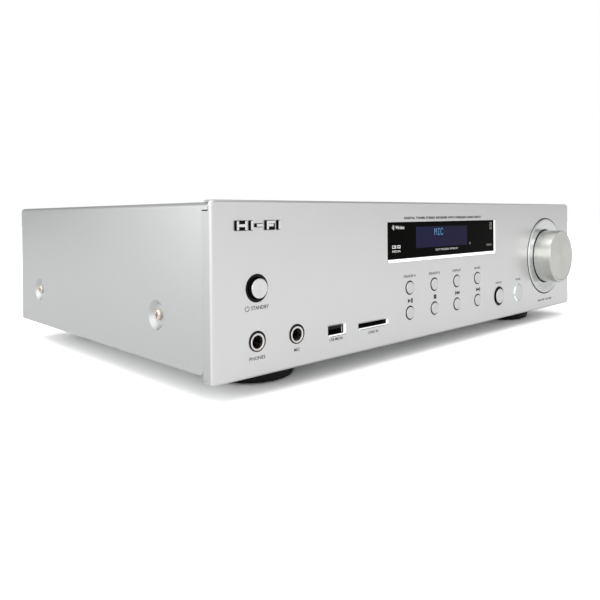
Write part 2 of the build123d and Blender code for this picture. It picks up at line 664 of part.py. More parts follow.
def foot():
    top = z_at(CHASSIS_LOW)
    outline = [
        (16.8, 0.6),
        (FOOT_BASE_R - 2.8, 0.6),
        (FOOT_BASE_R - 0.9, 1.4),
        (FOOT_BASE_R, 3.2),
        (FOOT_R, top - 1.5),
        (FOOT_R - 0.8, top),
        (2.4, top),
        (2.4, 5.5),
        (5.5, 5.5),
        (5.5, 1.8),
        (16.8, 1.8),
    ]
    return revolve(Plane.XZ * make_face(Polyline(*outline, close=True)), Axis.Z, 360)


def foot_pad():
    outline = Polyline((7, 0), (15.9, 0), (16.7, 0.8), (16.7, 1.8), (7, 1.8), close=True)
    return revolve(Plane.XZ * make_face(outline), Axis.Z, 360)


def foot_screw():
    head = Pos(0, 0, 4.4) * Cylinder(3.8, 2.2)
    for turn in (0, 90):
        head -= Pos(0, 0, 3.3) * Rot(0, 0, turn) * Box(4.4, 0.9, 2.2)
    shank_top = z_at(CHASSIS_LOW) + 2.6
    return head + Pos(0, 0, (5.5 + shank_top) / 2) * Cylinder(1.95, shank_top - 5.5)


def at_each_foot(solid):
    return group([Pos(x, y_at(depth), 0) * solid for x, depth in foot_places()])


# ---- sockets and switch at the back ------------------------------------------------------------------
def lever_profile(points, half_width, x, z):
    outline = [(y_at(REAR_FACE + out), z_at(z + up)) for out, up in points]
    face = Plane.YZ * make_face(Polyline(*outline, close=True))
    return Pos(x - half_width, 0, 0) * extrude(face, 2 * half_width)


def pivot_bar(x, out, z, half_length, radius):
    """A round bar along X, for a lever's pivot pins and the holes they turn in."""
    return Pos(x, y_at(REAR_FACE + out), z_at(z)) * Rot(0, 90, 0) * Cylinder(radius, 2 * half_length)


def speaker_terminals():
    """Moulded block with a pocket for each sprung lever and a wire hole under it."""
    body_x, body_z = (LEVER_X[0] - 12, LEVER_X[-1] + 12), (LEVER_ROWS["b"] - 11, LEVER_ROWS["a"] + 15)
    body = block(body_x, (REAR_FACE, REAR_FACE + 8), body_z)
    body = chamfer(body.faces().sort_by(Axis.Y)[-1].edges(), 1.2)
    inner = (REAR_FACE - 9, REAR_FACE)
    body += block((body_x[0] + 3, body_x[1] - 3), inner, (body_z[0] + 3, body_z[1] - 3))
    out, up = LEVER_PIVOT
    half_pocket = LEVER_W / 2 + POCKET_PLAY
    half_bar = half_pocket + PIN_LONG + PIN_END_PLAY
    for z in LEVER_ROWS.values():
        for x in LEVER_X:
            pocket = (x - half_pocket, x + half_pocket)
            body -= block(pocket, (REAR_FACE + 0.4, REAR_FACE + 9), (z, z + LEVER_H + 2))
            body -= pivot_bar(x, out, z + up, half_bar, LEVER_PIN_R + PIN_PLAY)
            body -= rod(x, z - 5, (REAR_FACE - 5, REAR_FACE + 9), 2.2)
    return body


def speaker_lever(x, z):
    """Wedge-shaped finger tab with a pivot pin at each side near its lower edge."""
    out, up = LEVER_PIVOT
    pins = pivot_bar(x, out, z + up, LEVER_W / 2 + POCKET_PLAY + PIN_LONG, LEVER_PIN_R)
    lower_side = [(2.4, 0.9), (5.8, 0.9), (7.6, 3.0), (11.6, 8.8)]
    upper_side = [(11.2, 10.4), (9.4, 10.9), (6.6, 10.6), (3.0, 5.0)]
    return lever_profile(lower_side + upper_side, LEVER_W / 2, x, z) + pins


def rca_inputs():
    """Moulded block behind the rear panel with a plated sleeve for each channel."""
    body_x, body_z = (RCA_X[0] - 10, RCA_X[-1] + 10), (RCA_Z[0] - 9, RCA_Z[1] + 9)
    body = block(body_x, (REAR_FACE - 15, REAR_FACE - SHEET), body_z)
    for x in RCA_X:
        for z in RCA_Z:
            body += rod(x, z, (REAR_FACE - SHEET - 0.5, REAR_FACE + 0.6), RCA_R + 1.2)
            body += rod(x, z, (REAR_FACE, REAR_FACE + RCA_LONG), RCA_R)
            body -= rod(x, z, (REAR_FACE - 1, REAR_FACE + RCA_LONG + 1), 1.65)
    return body


def antenna_socket():
    """Threaded coaxial socket with a hexagonal shoulder behind the panel."""
    x, z = ANTENNA_AT
    hexagon = Plane.XZ * Pos(x, z_at(z)) * RegularPolygon(7.0, 6)
    body = Pos(0, y_at(REAR_FACE - SHEET), 0) * extrude(hexagon, 10)
    body += rod(x, z, (REAR_FACE - SHEET - 0.5, BODY_DEPTH + REAR_PROUD), ANTENNA_R)
    body += rod(x, z, (REAR_FACE, REAR_FACE + ANTENNA_FLANGE_T), ANTENNA_FLANGE_R)
    body -= rod(x, z, (REAR_FACE, BODY_DEPTH + REAR_PROUD + 1), 1.2)
    return body


def power_switch():
    """Snap-in housing with a rectangular rim round the rocker, and holes in the rim for its pins."""
    x, z = SWITCH_AT
    body = block(*socket_cut(SWITCH_AT, 11.0, 8.0, (REAR_FACE, REAR_FACE + RIM_PROUD)))
    body = chamfer(body.faces().sort_by(Axis.Y)[-1].edges(), 0.8)
    body += block(*socket_cut(SWITCH_AT, 9.5, 6.5, (REAR_FACE - 16, REAR_FACE)))
    half_pocket = ROCKER_W / 2 + POCKET_PLAY
    body -= block(*socket_cut(SWITCH_AT, half_pocket, 5.6, (REAR_FACE - 7, REAR_FACE + 3)))
    body -= pivot_bar(x, ROCKER_PIVOT, z, half_pocket + PIN_LONG + PIN_END_PLAY, ROCKER_PIN_R + PIN_PLAY)
    return body


def power_rocker():
    """Rocker with a shallow V face, ends that are arcs about its pivot and a pin at each side.

    Its upper end is proud at rest.
    """
    x, z = SWITCH_AT
    ends = [math.radians(angle) for angle in (68, 82, 96)]
    upper = [(ROCKER_REACH * math.cos(angle), ROCKER_REACH * math.sin(angle)) for angle in ends]
    lower = [(out, -up) for out, up in reversed(upper)]
    outline = [(1.4, 0.0), *upper, (-3.6, 2.4), (-3.6, -2.4), *lower]
    tilt = math.radians(-ROCKER_TILT)
    points = []
    for out, up in outline:
        turned_out = out * math.cos(tilt) - up * math.sin(tilt)
        turned_up = out * math.sin(tilt) + up * math.cos(tilt)
        points.append((ROCKER_PIVOT + turned_out, turned_up))
    pins = pivot_bar(x, ROCKER_PIVOT, z, ROCKER_W / 2 + POCKET_PLAY + PIN_LONG, ROCKER_PIN_R)
    return lever_profile(points, ROCKER_W / 2, x, z) + pins


def mains_inlet():
    """Two-pin appliance inlet: a rounded cavity with two pins."""
    x, z = INLET_AT
    body = block(*socket_cut(INLET_AT, 14.0, 9.5, (REAR_FACE, REAR_FACE + 2)))
    body = chamfer(body.faces().sort_by(Axis.Y)[-1].edges(), 0.8)
    body += block(*socket_cut(INLET_AT, 11.0, 7.5, (REAR_FACE - 18, REAR_FACE)))
    cavity = block(*socket_cut(INLET_AT, 8.4, 4.3, (REAR_FACE - 10, REAR_FACE + 3)))
    body -= fillet(cavity.edges().filter_by(Axis.Y), 4.2)
    for pin_x in (x - 4.3, x + 4.3):
        body += rod(pin_x, z, (REAR_FACE - 12, REAR_FACE - 1.5), 1.2)
    return body


# ---- write every piece --------------------------------------------------------------------------------
def main():
    pieces = {
        "front_panel": front_panel(),
        "front_frame": front_frame(),
        "top_cover": top_cover(),
        "bottom_chassis": bottom_chassis(),
        "rear_panel": rear_panel(),
        "cover_screws": cover_screws(),
        "feet": at_each_foot(foot()),
        "foot_pads": at_each_foot(foot_pad()),
        "foot_screws": at_each_foot(foot_screw()),
        "display_window": display_window(),
        "display_module": display_module(),
        "badge": badge(),
        "volume_ring": volume_ring(),
        "volume_knob": volume_knob(),
        "volume_shaft": volume_shaft(),
        "volume_encoder": volume_encoder(),
        "standby_ring": ring(STANDBY_AT, STANDBY_RING_R, STANDBY_R + 0.3, 0.6),
        "standby_button": button(STANDBY_AT, STANDBY_R, STANDBY_PROUD, dish=0.15),
        "input_ring": ring(INPUT_AT, ROUND_RING_R, INPUT_R + 0.2, 0.1),
        "input_button": button(INPUT_AT, INPUT_R, INPUT_PROUD, dish=0.1),
        "pair_light_ring": ring(PAIR_AT, ROUND_RING_R, ROUND_R + 0.2, -0.15),
        "pair_button": button(PAIR_AT, ROUND_R, BUTTON_PROUD, dish=0.1),
        "jack_sleeves": jack_sleeves(),
        "usb_port": usb_port(),
        "card_slot": card_slot(),
        "front_board": front_board(),
        "jack_board": jack_board(),
        "tact_switches": tact_switches(),
        "main_board": main_board(),
        "board_screws": board_screws(),
        "heat_sink": heat_sink(),
        "power_transistors": power_transistors(),
        "filter_capacitors": filter_capacitors(),
        "transformer": transformer(),
        "tuner_can": tuner_can(),
        "ribbon_cable": ribbon_cable(),
        "speaker_terminals": speaker_terminals(),
        "rca_inputs": rca_inputs(),
        "antenna_socket": antenna_socket(),
        "power_switch": power_switch(),
        "power_rocker": power_rocker(),
        "mains_inlet": mains_inlet(),
    }
    for name in BUTTONS:
        pieces[name] = button(button_at(name), BUTTON_R, BUTTON_PROUD, dish=0.1)
    for name, at in JACKS.items():
        pieces[name] = jack(at)
    for row, z in LEVER_ROWS.items():
        for index, x in enumerate(LEVER_X, start=1):
            pieces[f"speaker_lever_{row}{index}"] = speaker_lever(x, z)
    for name, shape in pieces.items():
        save(name, shape)
    print(len(pieces), "pieces")


main()
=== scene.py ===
"""Stereo receiver: finishes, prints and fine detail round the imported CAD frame.

Sizes are in millimetres, and MM turns them into the frame's metres.
"""
import itertools
import json
import math

import bmesh
import bpy
from mathutils import Matrix, Vector


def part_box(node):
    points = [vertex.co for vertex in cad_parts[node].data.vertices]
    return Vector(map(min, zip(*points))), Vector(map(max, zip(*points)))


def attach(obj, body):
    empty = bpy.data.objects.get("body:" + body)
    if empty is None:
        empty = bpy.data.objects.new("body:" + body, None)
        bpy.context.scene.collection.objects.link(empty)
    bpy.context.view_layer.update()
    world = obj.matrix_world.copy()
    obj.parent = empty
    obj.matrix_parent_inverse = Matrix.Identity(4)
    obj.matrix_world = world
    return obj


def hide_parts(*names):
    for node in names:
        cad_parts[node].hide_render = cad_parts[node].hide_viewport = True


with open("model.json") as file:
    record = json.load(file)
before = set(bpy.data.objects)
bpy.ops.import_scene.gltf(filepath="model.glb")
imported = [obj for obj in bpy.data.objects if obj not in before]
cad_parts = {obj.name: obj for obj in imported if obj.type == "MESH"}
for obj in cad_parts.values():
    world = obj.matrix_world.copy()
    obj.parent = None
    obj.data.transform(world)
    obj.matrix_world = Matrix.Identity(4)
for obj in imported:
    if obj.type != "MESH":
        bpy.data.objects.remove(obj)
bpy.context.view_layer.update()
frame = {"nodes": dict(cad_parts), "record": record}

MM = 0.001
SLOT_OF = {part["node"]: part["material_slot"] for part in frame["record"]["subparts"]}

# ---- places, all worked out from the frame ----
panel_low, panel_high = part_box("front_panel")
window_low, window_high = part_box("display_window")
rear_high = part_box("rear_panel")[1]


def middle(node):
    low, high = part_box(node)
    return (low + high) / 2


def on_axis(node):
    """The line along Y through a turned node, at the panel's front face."""
    centre = middle(node)
    return Vector((centre.x, panel_low.y, centre.z))


class Face:
    """A flat face to draw on: u runs right and v up for someone who looks at it, out is towards them."""

    def __init__(self, origin, right, out):
        self.origin, self.right, self.out = Vector(origin), Vector(right), Vector(out)

    def at(self, u, v, out=0.0):
        return self.origin + (self.right * u + Vector((0, 0, 1)) * v + self.out * out) * MM


KNOB_HIGH = 42.6  # of the volume control above the line that heights are measured from
DATUM = middle("volume_ring").z - KNOB_HIGH * MM
FRONT = Face((panel_low.x, panel_low.y, DATUM), (1, 0, 0), (0, -1, 0))
WINDOW = Face((panel_low.x, window_low.y, DATUM), (1, 0, 0), (0, -1, 0))
REAR = Face((0, rear_high.y, DATUM), (-1, 0, 0), (0, 1, 0))


# ---- node materials ----
class Graph:
    """Shader nodes under construction."""

    place = None

    def __init__(self, tree):
        self.nodes, self.links = tree.nodes, tree.links

    def add(self, kind, inputs=(), **settings):
        node = self.nodes.new(kind)
        for key, value in settings.items():
            setattr(node, key, value)
        for key, value in dict(inputs).items():
            self.feed(node.inputs[key], value)
        return node

    def feed(self, socket, value):
        if isinstance(value, bpy.types.NodeSocket):
            self.links.new(value, socket)
        else:
            socket.default_value = value

    def math(self, operation, *values):
        node = self.add("ShaderNodeMath", operation=operation)
        for socket, value in zip(node.inputs, values):
            self.feed(socket, value)
        return node.outputs[0]

    def times(self, first, second):
        return self.math("MULTIPLY", first, second)

    def axes(self, source=None):
        node = self.add("ShaderNodeSeparateXYZ", {0: source or self.place})
        return node.outputs[0], node.outputs[1], node.outputs[2]

    def ramp(self, value, stops):
        """Grey levels through (position, level) stops."""
        node = self.add("ShaderNodeValToRGB", {0: value})
        elements = node.color_ramp.elements
        while len(elements) < len(stops):
            elements.new(0.5)
        for element, (position, level) in zip(elements, stops):
            element.position = position
            element.color = (level, level, level, 1.0)
        return node.outputs[0]


class Finish(Graph):
    """A procedural material under construction. Its texture space is the object's own, in metres."""

    def __init__(self, name, colour, rough, metal=0.0, **sockets):
        self.material = bpy.data.materials.new(name)
        self.material.use_nodes = True
        super().__init__(self.material.node_tree)
        self.shader = self.nodes["Principled BSDF"]
        self.place = self.add("ShaderNodeTexCoord").outputs["Object"]
        self.set("Base Color", (*colour, 1.0))
        self.set("Roughness", rough)
        self.set("Metallic", metal)
        for socket, value in sockets.items():
            self.set(socket.replace("_", " "), value)

    def set(self, socket, value):
        self.feed(self.shader.inputs[socket], value)

    def paint(self, share, first, second):
        self.set("Base Color", self.mix(share, first, second))

    def roughen(self, value, low, high, from_low=0.0, from_high=1.0):
        self.set("Roughness", self.span(value, low, high, from_low, from_high))

    def span(self, value, low, high, from_low=0.0, from_high=1.0):
        """Maps a range of value onto low to high, clamped."""
        inputs = {"Value": value, "From Min": from_low, "From Max": from_high, "To Min": low, "To Max": high}
        return self.add("ShaderNodeMapRange", inputs).outputs["Result"]

    def mix(self, share, first, second):
        node = self.add("ShaderNodeMix", data_type="RGBA")
        self.feed(node.inputs["Factor"], share)
        for name, value in (("A", first), ("B", second)):
            socket = next(s for s in node.inputs if s.name == name and s.type == "RGBA")
            self.feed(socket, value if isinstance(value, bpy.types.NodeSocket) else (*value, 1.0))
        return next(s for s in node.outputs if s.type == "RGBA")

    def spread(self, size, stretch=(1, 1, 1), source=None, shift=0.0):
        """Texture coordinates in which one unit is about size millimetres, longer along a stretched axis."""
        scale = [1 / (size * MM * s) for s in stretch]
        moved = (shift, shift * 1.7, shift * 0.6)
        inputs = {"Vector": source or self.place, "Scale": scale, "Location": moved}
        return self.add("ShaderNodeMapping", inputs).outputs["Vector"]

    def noise(self, size, stretch=(1, 1, 1), detail=2.0, source=None, shift=0.0, rough=0.5):
        where = self.spread(size, stretch, source, shift)
        inputs = {"Vector": where, "Scale": 1.0, "Detail": detail, "Roughness": rough}
        return self.add("ShaderNodeTexNoise", inputs).outputs["Fac"]

    def cells(self, size, stretch=(1, 1, 1), output="Distance", **settings):
        inputs = {"Vector": self.spread(size, stretch), "Scale": 1.0}
        return self.add("ShaderNodeTexVoronoi", inputs, **settings).outputs[output]

    def turned(self, centre):
        """Coordinates (distance from the Y line through centre, place along it), and the angle round it."""
        moved = self.add("ShaderNodeVectorMath", {0: self.place, 1: centre}, operation="SUBTRACT")
        x, y, z = self.axes(moved.outputs[0])
        radius = self.math("SQRT", self.math("ADD", self.times(x, x), self.times(z, z)))
        angle = self.math("ARCTAN2", z, x)
        return self.add("ShaderNodeCombineXYZ", {0: radius, 1: y, 2: 0.0}).outputs[0], angle

    def normal_axis(self, index):
        normal = self.add("ShaderNodeNewGeometry").outputs["Normal"]
        return self.axes(normal)[index]

    def edge(self, width, low=0.02, high=0.25):
        """1 where the surface turns within width millimetres, 0 on the flat: the brighter edges, part wear,
        part painted highlight.
        """
        soft = self.add("ShaderNodeBevel", {"Radius": width * MM}, samples=4).outputs[0]
        sharp = self.add("ShaderNodeNewGeometry").outputs["Normal"]
        along = self.add("ShaderNodeVectorMath", {0: soft, 1: sharp}, operation="DOT_PRODUCT")
        return self.span(self.math("SUBTRACT", 1.0, along.outputs["Value"]), 0.0, 1.0, low, high)

    def bump(self, height, depth, before=None):
        """Relief of depth micrometres from a height value, over any relief before it."""
        inputs = {"Height": height, "Distance": depth * 1e-6, "Strength": 1.0}
        if before is not None:
            inputs["Normal"] = before
        return self.add("ShaderNodeBump", inputs).outputs["Normal"]

    def relief(self, *layers):
        """Sets the normal from (height, micrometres) layers."""
        normal = None
        for height, depth in layers:
            normal = self.bump(height, depth, normal)
        self.set("Normal", normal)

    def spin(self, centre):
        """Circular brushing, whose highlight spreads across the lines; returns the turned coordinates."""
        tangent = self.add("ShaderNodeTangent", direction_type="RADIAL", axis="Y").outputs[0]
        self.set("Tangent", tangent)
        self.set("Anisotropic", 0.7)
        self.set("Anisotropic Rotation", 0.25)
        return self.turned(centre)[0]


def shade(colour, factor):
    return tuple(channel * factor for channel in colour)


def paint_wear_and_edge_highlight(finish, colour, width, bright=1.12, wear_noise=6.0):
    """Base colour with slow variation and a brighter, patchy line along edges: partly wear from handling,
    partly a painted highlight.
    """
    slow = finish.noise(35.0, detail=3.0)
    base = finish.mix(slow, shade(colour, 0.985), shade(colour, 1.015))
    patchy = finish.span(finish.noise(wear_noise, detail=4.0, shift=3.0), 0.25, 1.0, 0.35, 0.65)
    share = finish.times(finish.edge(width), patchy)
    # The brighter edge colour is partly wear, partly a painted highlight.
    finish.paint(share, base, tuple(min(1.0, channel) for channel in shade(colour, bright)))
    return share


def panel_aluminium():
    """Fine-blasted plate, duller on its two ends: rougher there, and painted darker there as painted shade.
    """
    colour = (0.80, 0.805, 0.80)
    finish = Finish("panel_aluminium", colour, 0.3, 0.9)
    wear_and_highlight = paint_wear_and_edge_highlight(finish, colour, 0.35, 1.1)
    grain = finish.noise(0.22, detail=3.0, rough=0.6)
    cloud = finish.noise(18.0, detail=2.0, shift=5.0)
    rough = finish.span(finish.math("ADD", finish.times(grain, 0.4), cloud), 0.27, 0.36, 0.3, 1.1)
    rough = finish.math("SUBTRACT", rough, finish.times(wear_and_highlight, 0.08))
    across = finish.math("ABSOLUTE", finish.axes()[0])
    # The end faces are painted darker: painted shade on the plate's sides.
    end = finish.span(across, 0.0, 1.0, panel_high.x - 0.5 * MM, panel_high.x - 0.1 * MM)
    base = finish.shader.inputs["Base Color"].links[0].from_socket
    finish.paint(end, base, (0.50, 0.51, 0.51))
    finish.set("Roughness", finish.math("ADD", rough, finish.times(end, 0.1)))
    finish.relief((grain, 3.0), (finish.noise(0.6, (6, 1, 1), shift=9.0), 1.2))
    return finish


def cover_paint():
    colour = (0.515, 0.525, 0.527)
    finish = Finish("cover_paint", colour, 0.4, 0.85, Coat_Weight=0.25, Coat_Roughness=0.25)
    flake = finish.cells(0.16, output="Color")
    sparkle = finish.axes(flake)[0]
    base = finish.mix(sparkle, shade(colour, 0.93), shade(colour, 1.06))
    # Brighter patchy edges: partly wear, partly a painted highlight.
    share = finish.times(finish.edge(0.4), finish.noise(5.0, detail=4.0))
    finish.paint(share, base, shade(colour, 1.2))
    finish.roughen(finish.noise(24.0, detail=3.0, shift=2.0), 0.31, 0.37)
    peel = finish.noise(1.6, detail=2.0, shift=4.0)
    finish.relief((sparkle, 1.2), (peel, 5.0))
    return finish


def bare_steel():
    finish = Finish("bare_steel", (0.6, 0.61, 0.61), 0.35, 1.0)
    spangle = finish.axes(finish.cells(7.0, output="Color"))[0]
    finish.paint(spangle, (0.52, 0.53, 0.54), (0.67, 0.68, 0.68))
    finish.roughen(spangle, 0.26, 0.42)
    finish.relief((finish.noise(0.5, (1, 12, 1)), 2.0))
    return finish


def rear_paint():
    colour = (0.018, 0.018, 0.02)
    finish = Finish("rear_paint", colour, 0.55)
    paint_wear_and_edge_highlight(finish, colour, 0.3, 2.2)
    wrinkle = finish.noise(0.55, detail=3.0, rough=0.6)
    finish.roughen(wrinkle, 0.45, 0.65, 0.3, 0.7)
    finish.relief((wrinkle, 45.0), (finish.noise(2.5, shift=7.0), 12.0))
    return finish


def screw_steel():
    colour = (0.72, 0.66, 0.57)
    finish = Finish("screw_steel", colour, 0.3, 1.0)
    stain = finish.noise(1.4, detail=4.0)
    finish.paint(stain, (0.62, 0.53, 0.44), (0.80, 0.76, 0.69))
    finish.roughen(finish.noise(0.5, detail=3.0, shift=2.0), 0.2, 0.42)
    finish.relief((finish.noise(0.15, (1, 5, 1)), 3.0))
    return finish


def moulded(name, colour, rough, grain, depth, shine=0.5):
    """Injection-moulded plastic with a spark-eroded texture."""
    finish = Finish(name, colour, rough, Specular_IOR_Level=shine)
    paint_wear_and_edge_highlight(finish, colour, 0.25, 1.6)
    texture = finish.noise(grain, detail=3.0, rough=0.6)
    finish.roughen(texture, rough - 0.07, rough + 0.07, 0.3, 0.7)
    finish.relief((texture, depth), (finish.noise(9.0, shift=4.0), 8.0))
    return finish


# Colour, roughness, grain in millimetres, its depth in micrometres and the level of the shine.
MOULDED = {
    "black_plastic": ((0.022, 0.022, 0.024), 0.5, 0.35, 12.0, 0.5),
    "gloss_black": ((0.007, 0.007, 0.008), 0.2, 3.0, 1.5, 0.14),
    # The next finish colours near-black sheets set in the gaps round the controls: painted shade.
    "painted_gap_shade": ((0.004, 0.004, 0.005), 0.6, 0.5, 6.0, 0.08),  # lining of the narrow gaps round the controls
    "foot_plastic": ((0.008, 0.008, 0.009), 0.45, 0.4, 15.0, 0.22),
    "lever_red": ((0.50, 0.018, 0.015), 0.28, 0.6, 4.0, 0.5),
    "lever_black": ((0.016, 0.016, 0.017), 0.28, 0.6, 4.0, 0.5),
}


def smoked_acrylic():
    finish = Finish("smoked_acrylic", (0.003, 0.003, 0.003), 0.05, Specular_IOR_Level=0.02)
    dust = finish.span(finish.noise(0.9, detail=5.0, rough=0.7), 0.0, 1.0, 0.62, 0.80)
    smear = finish.noise(14.0, (2.5, 1, 1), detail=3.0, shift=6.0)
    finish.paint(dust, (0.0019, 0.0018, 0.0015), (0.007, 0.007, 0.007))
    finish.roughen(smear, 0.03, 0.09, 0.3, 0.7)
    finish.relief((smear, 1.5))
    return finish


def badge_chrome():
    """Bright front faces; the sides are painted near-black as painted shade and painted dark reflection."""
    finish = Finish("badge_chrome", (0.86, 0.87, 0.88), 0.25, 1.0)
    # Faces that look along Y stay bright; the letters' sides get painted shade.
    face = finish.span(finish.math("ABSOLUTE", finish.normal_axis(1)), 0.0, 1.0, 0.6, 0.9)
    smear = finish.noise(1.8, detail=3.0)
    bright = finish.mix(smear, (0.90, 0.91, 0.92), (0.98, 0.98, 0.99))
    finish.paint(face, (0.006, 0.006, 0.007), bright)
    finish.set("Metallic", face)
    finish.roughen(smear, 0.2, 0.32, 0.3, 0.7)
    finish.relief((finish.noise(0.7, shift=3.0), 1.5))
    return finish


def turned_metal(name, colour, centre, rough, line=0.09, depth=2.2):
    """Lathe-turned aluminium: rings on the faces and lines round the sides, satin anodised."""
    finish = Finish(name, colour, rough, 1.0)
    rings = finish.spin(centre)
    fine = finish.noise(line, source=rings, detail=3.0, rough=0.7)
    broad = finish.noise(line * 14, source=rings, detail=2.0, shift=3.0)
    tone = finish.mix(broad, shade(colour, 0.97), shade(colour, 1.03))
    # Brighter edges: partly wear, partly a painted highlight.
    wear_and_highlight = finish.edge(0.3)
    finish.paint(wear_and_highlight, tone, shade(colour, 1.1))
    finish.roughen(fine, rough - 0.05, rough + 0.07, 0.25, 0.75)
    finish.relief((fine, depth), (finish.noise(0.3, detail=2.0, shift=8.0), 0.8))
    return finish


def cap_silver():
    colour = (0.76, 0.765, 0.76)
    finish = Finish("cap_silver", colour, 0.3, 0.9, Coat_Weight=0.3, Coat_Roughness=0.15)
    flake = finish.axes(finish.cells(0.1, output="Color"))[0]
    finish.paint(flake, shade(colour, 0.95), shade(colour, 1.04))
    finish.roughen(finish.noise(1.2, detail=3.0), 0.26, 0.36)
    finish.relief((flake, 0.6), (finish.noise(0.8, shift=2.0), 1.5))
    return finish


def lit_ring(centre):
    """Frosted light guide, its glow brightest round its left side."""
    finish = Finish("lit_ring", (0.8, 0.86, 0.9), 0.4, Emission_Strength=1.0)
    angle = finish.turned(centre)[1]
    cloud = finish.noise(0.9, detail=2.0)
    toward_left = finish.span(finish.math("COSINE", angle), 1.0, 0.0, -1.0, 0.1)
    lit = finish.times(toward_left, finish.span(cloud, 0.1, 1.0, 0.42, 0.6))
    finish.set("Emission Color", finish.mix(lit, (0.0, 0.0, 0.0), (2.1, 2.6, 2.7)))
    finish.paint(cloud, (0.52, 0.60, 0.62), (0.62, 0.68, 0.70))
    finish.roughen(finish.noise(0.3, shift=4.0), 0.35, 0.5)
    finish.relief((finish.noise(0.25, shift=2.0), 3.0))
    return finish


def plated(name, colour, rough):
    finish = Finish(name, colour, rough, 1.0)
    tarnish = finish.noise(1.5, detail=4.0)
    finish.paint(tarnish, shade(colour, 0.86), shade(colour, 1.05))
    finish.roughen(tarnish, rough - 0.05, rough + 0.1, 0.3, 0.7)
    finish.relief((finish.noise(0.2, (1, 6, 1), shift=5.0), 1.5))
    return finish


# Colour and roughness.
PLATED = {"plated_metal": ((0.80, 0.76, 0.73), 0.16), "jack_nickel": ((0.92, 0.87, 0.85), 0.22)}


def polished_edge(name="polished_edge", glow=0.5):
    """Bright-cut aluminium with a painted highlight: it glows, so it looks lit whatever its angle."""
    finish = plated(name, (0.95, 0.96, 0.96), 0.3)
    finish.set("Metallic", 0.35)
    # Painted highlight: the metal glows though it is no lamp.
    finish.set("Emission Color", (0.95, 1.0, 1.0, 1.0))
    finish.set("Emission Strength", glow)
    return finish


def board():
    finish = Finish("board", (0.03, 0.16, 0.07), 0.3, Coat_Weight=0.5, Coat_Roughness=0.15)
    track = finish.cells(3.0, output="Distance", distance="CHEBYCHEV", feature="DISTANCE_TO_EDGE")
    line = finish.span(track, 1.0, 0.0, 0.05, 0.09)
    pad = finish.span(finish.cells(2.2, output="Distance"), 1.0, 0.0, 0.14, 0.18)
    mask = finish.mix(line, (0.02, 0.12, 0.05), (0.05, 0.24, 0.10))
    finish.paint(pad, mask, (0.62, 0.60, 0.55))
    finish.set("Metallic", pad)
    finish.roughen(finish.noise(4.0), 0.25, 0.38)
    finish.relief((line, 20.0), (pad, 30.0))
    return finish


def extruded_aluminium():
    finish = Finish("extruded_aluminium", (0.68, 0.69, 0.7), 0.35, 1.0)
    drawn = finish.noise(0.35, (1, 1, 60), detail=3.0)
    finish.paint(drawn, (0.6, 0.61, 0.62), (0.75, 0.76, 0.77))
    finish.roughen(drawn, 0.25, 0.45)
    finish.relief((drawn, 6.0))
    return finish


def transformer_iron():
    finish = Finish("transformer_iron", (0.3, 0.29, 0.28), 0.45, 0.7)
    sheets = finish.math("FRACT", finish.times(finish.axes()[1], 1 / (0.5 * MM)))
    gap = finish.span(sheets, 1.0, 0.0, 0.0, 0.18)
    blotch = finish.noise(6.0, detail=4.0)
    iron = finish.mix(blotch, (0.22, 0.20, 0.18), (0.40, 0.38, 0.36))
    finish.paint(gap, iron, (0.06, 0.055, 0.05))
    finish.roughen(blotch, 0.35, 0.6)
    finish.relief((gap, -60.0))
    return finish


def capacitor_sleeve():
    finish = Finish("capacitor_sleeve", (0.02, 0.03, 0.08), 0.25)
    top = finish.span(finish.normal_axis(2), 0.0, 1.0, 0.85, 0.95)
    wrinkle = finish.noise(1.5, (1, 1, 5), detail=3.0)
    sleeve = finish.mix(wrinkle, (0.015, 0.022, 0.06), (0.03, 0.045, 0.11))
    finish.paint(top, sleeve, (0.72, 0.73, 0.74))
    finish.set("Metallic", top)
    finish.roughen(wrinkle, 0.2, 0.34)
    finish.relief((wrinkle, 15.0))
    return finish


def cable_grey():
    finish = Finish("cable_grey", (0.5, 0.51, 0.52), 0.45)
    wires = finish.math("FRACT", finish.times(finish.axes()[0], 1 / (1.27 * MM)))
    ridge = finish.math("ABSOLUTE", finish.math("SUBTRACT", wires, 0.5))
    finish.paint(finish.span(ridge, 0, 1, 0.3, 0.5), (0.56, 0.57, 0.58), (0.40, 0.41, 0.42))
    finish.roughen(finish.noise(3.0), 0.38, 0.52)
    finish.relief((ridge, -150.0))
    return finish


def foot_rubber():
    finish = Finish("foot_rubber", (0.035, 0.035, 0.036), 0.85, Sheen_Weight=0.3)
    felt = finish.noise(0.18, detail=5.0, rough=0.75)
    finish.paint(felt, (0.02, 0.02, 0.021), (0.06, 0.06, 0.062))
    finish.roughen(felt, 0.75, 0.95)
    finish.relief((felt, 60.0))
    return finish


def ink(name, colour, rough=0.45):
    """Screen-printed ink: slightly uneven cover."""
    finish = Finish(name, colour, rough)
    cover = finish.noise(0.25, detail=3.0, rough=0.7)
    finish.paint(cover, shade(colour, 0.82), shade(colour, 1.15))
    finish.roughen(cover, rough - 0.08, rough + 0.1)
    finish.relief((cover, 4.0))
    return finish


def white_ink():
    """White print behind the window and on the back, with a faint painted glow."""
    finish = ink("white_ink", (0.78, 0.78, 0.76))
    # Painted glow: the ink is no lamp.
    finish.set("Emission Color", (0.8, 0.8, 0.78, 1.0))
    finish.set("Emission Strength", 0.25)
    return finish


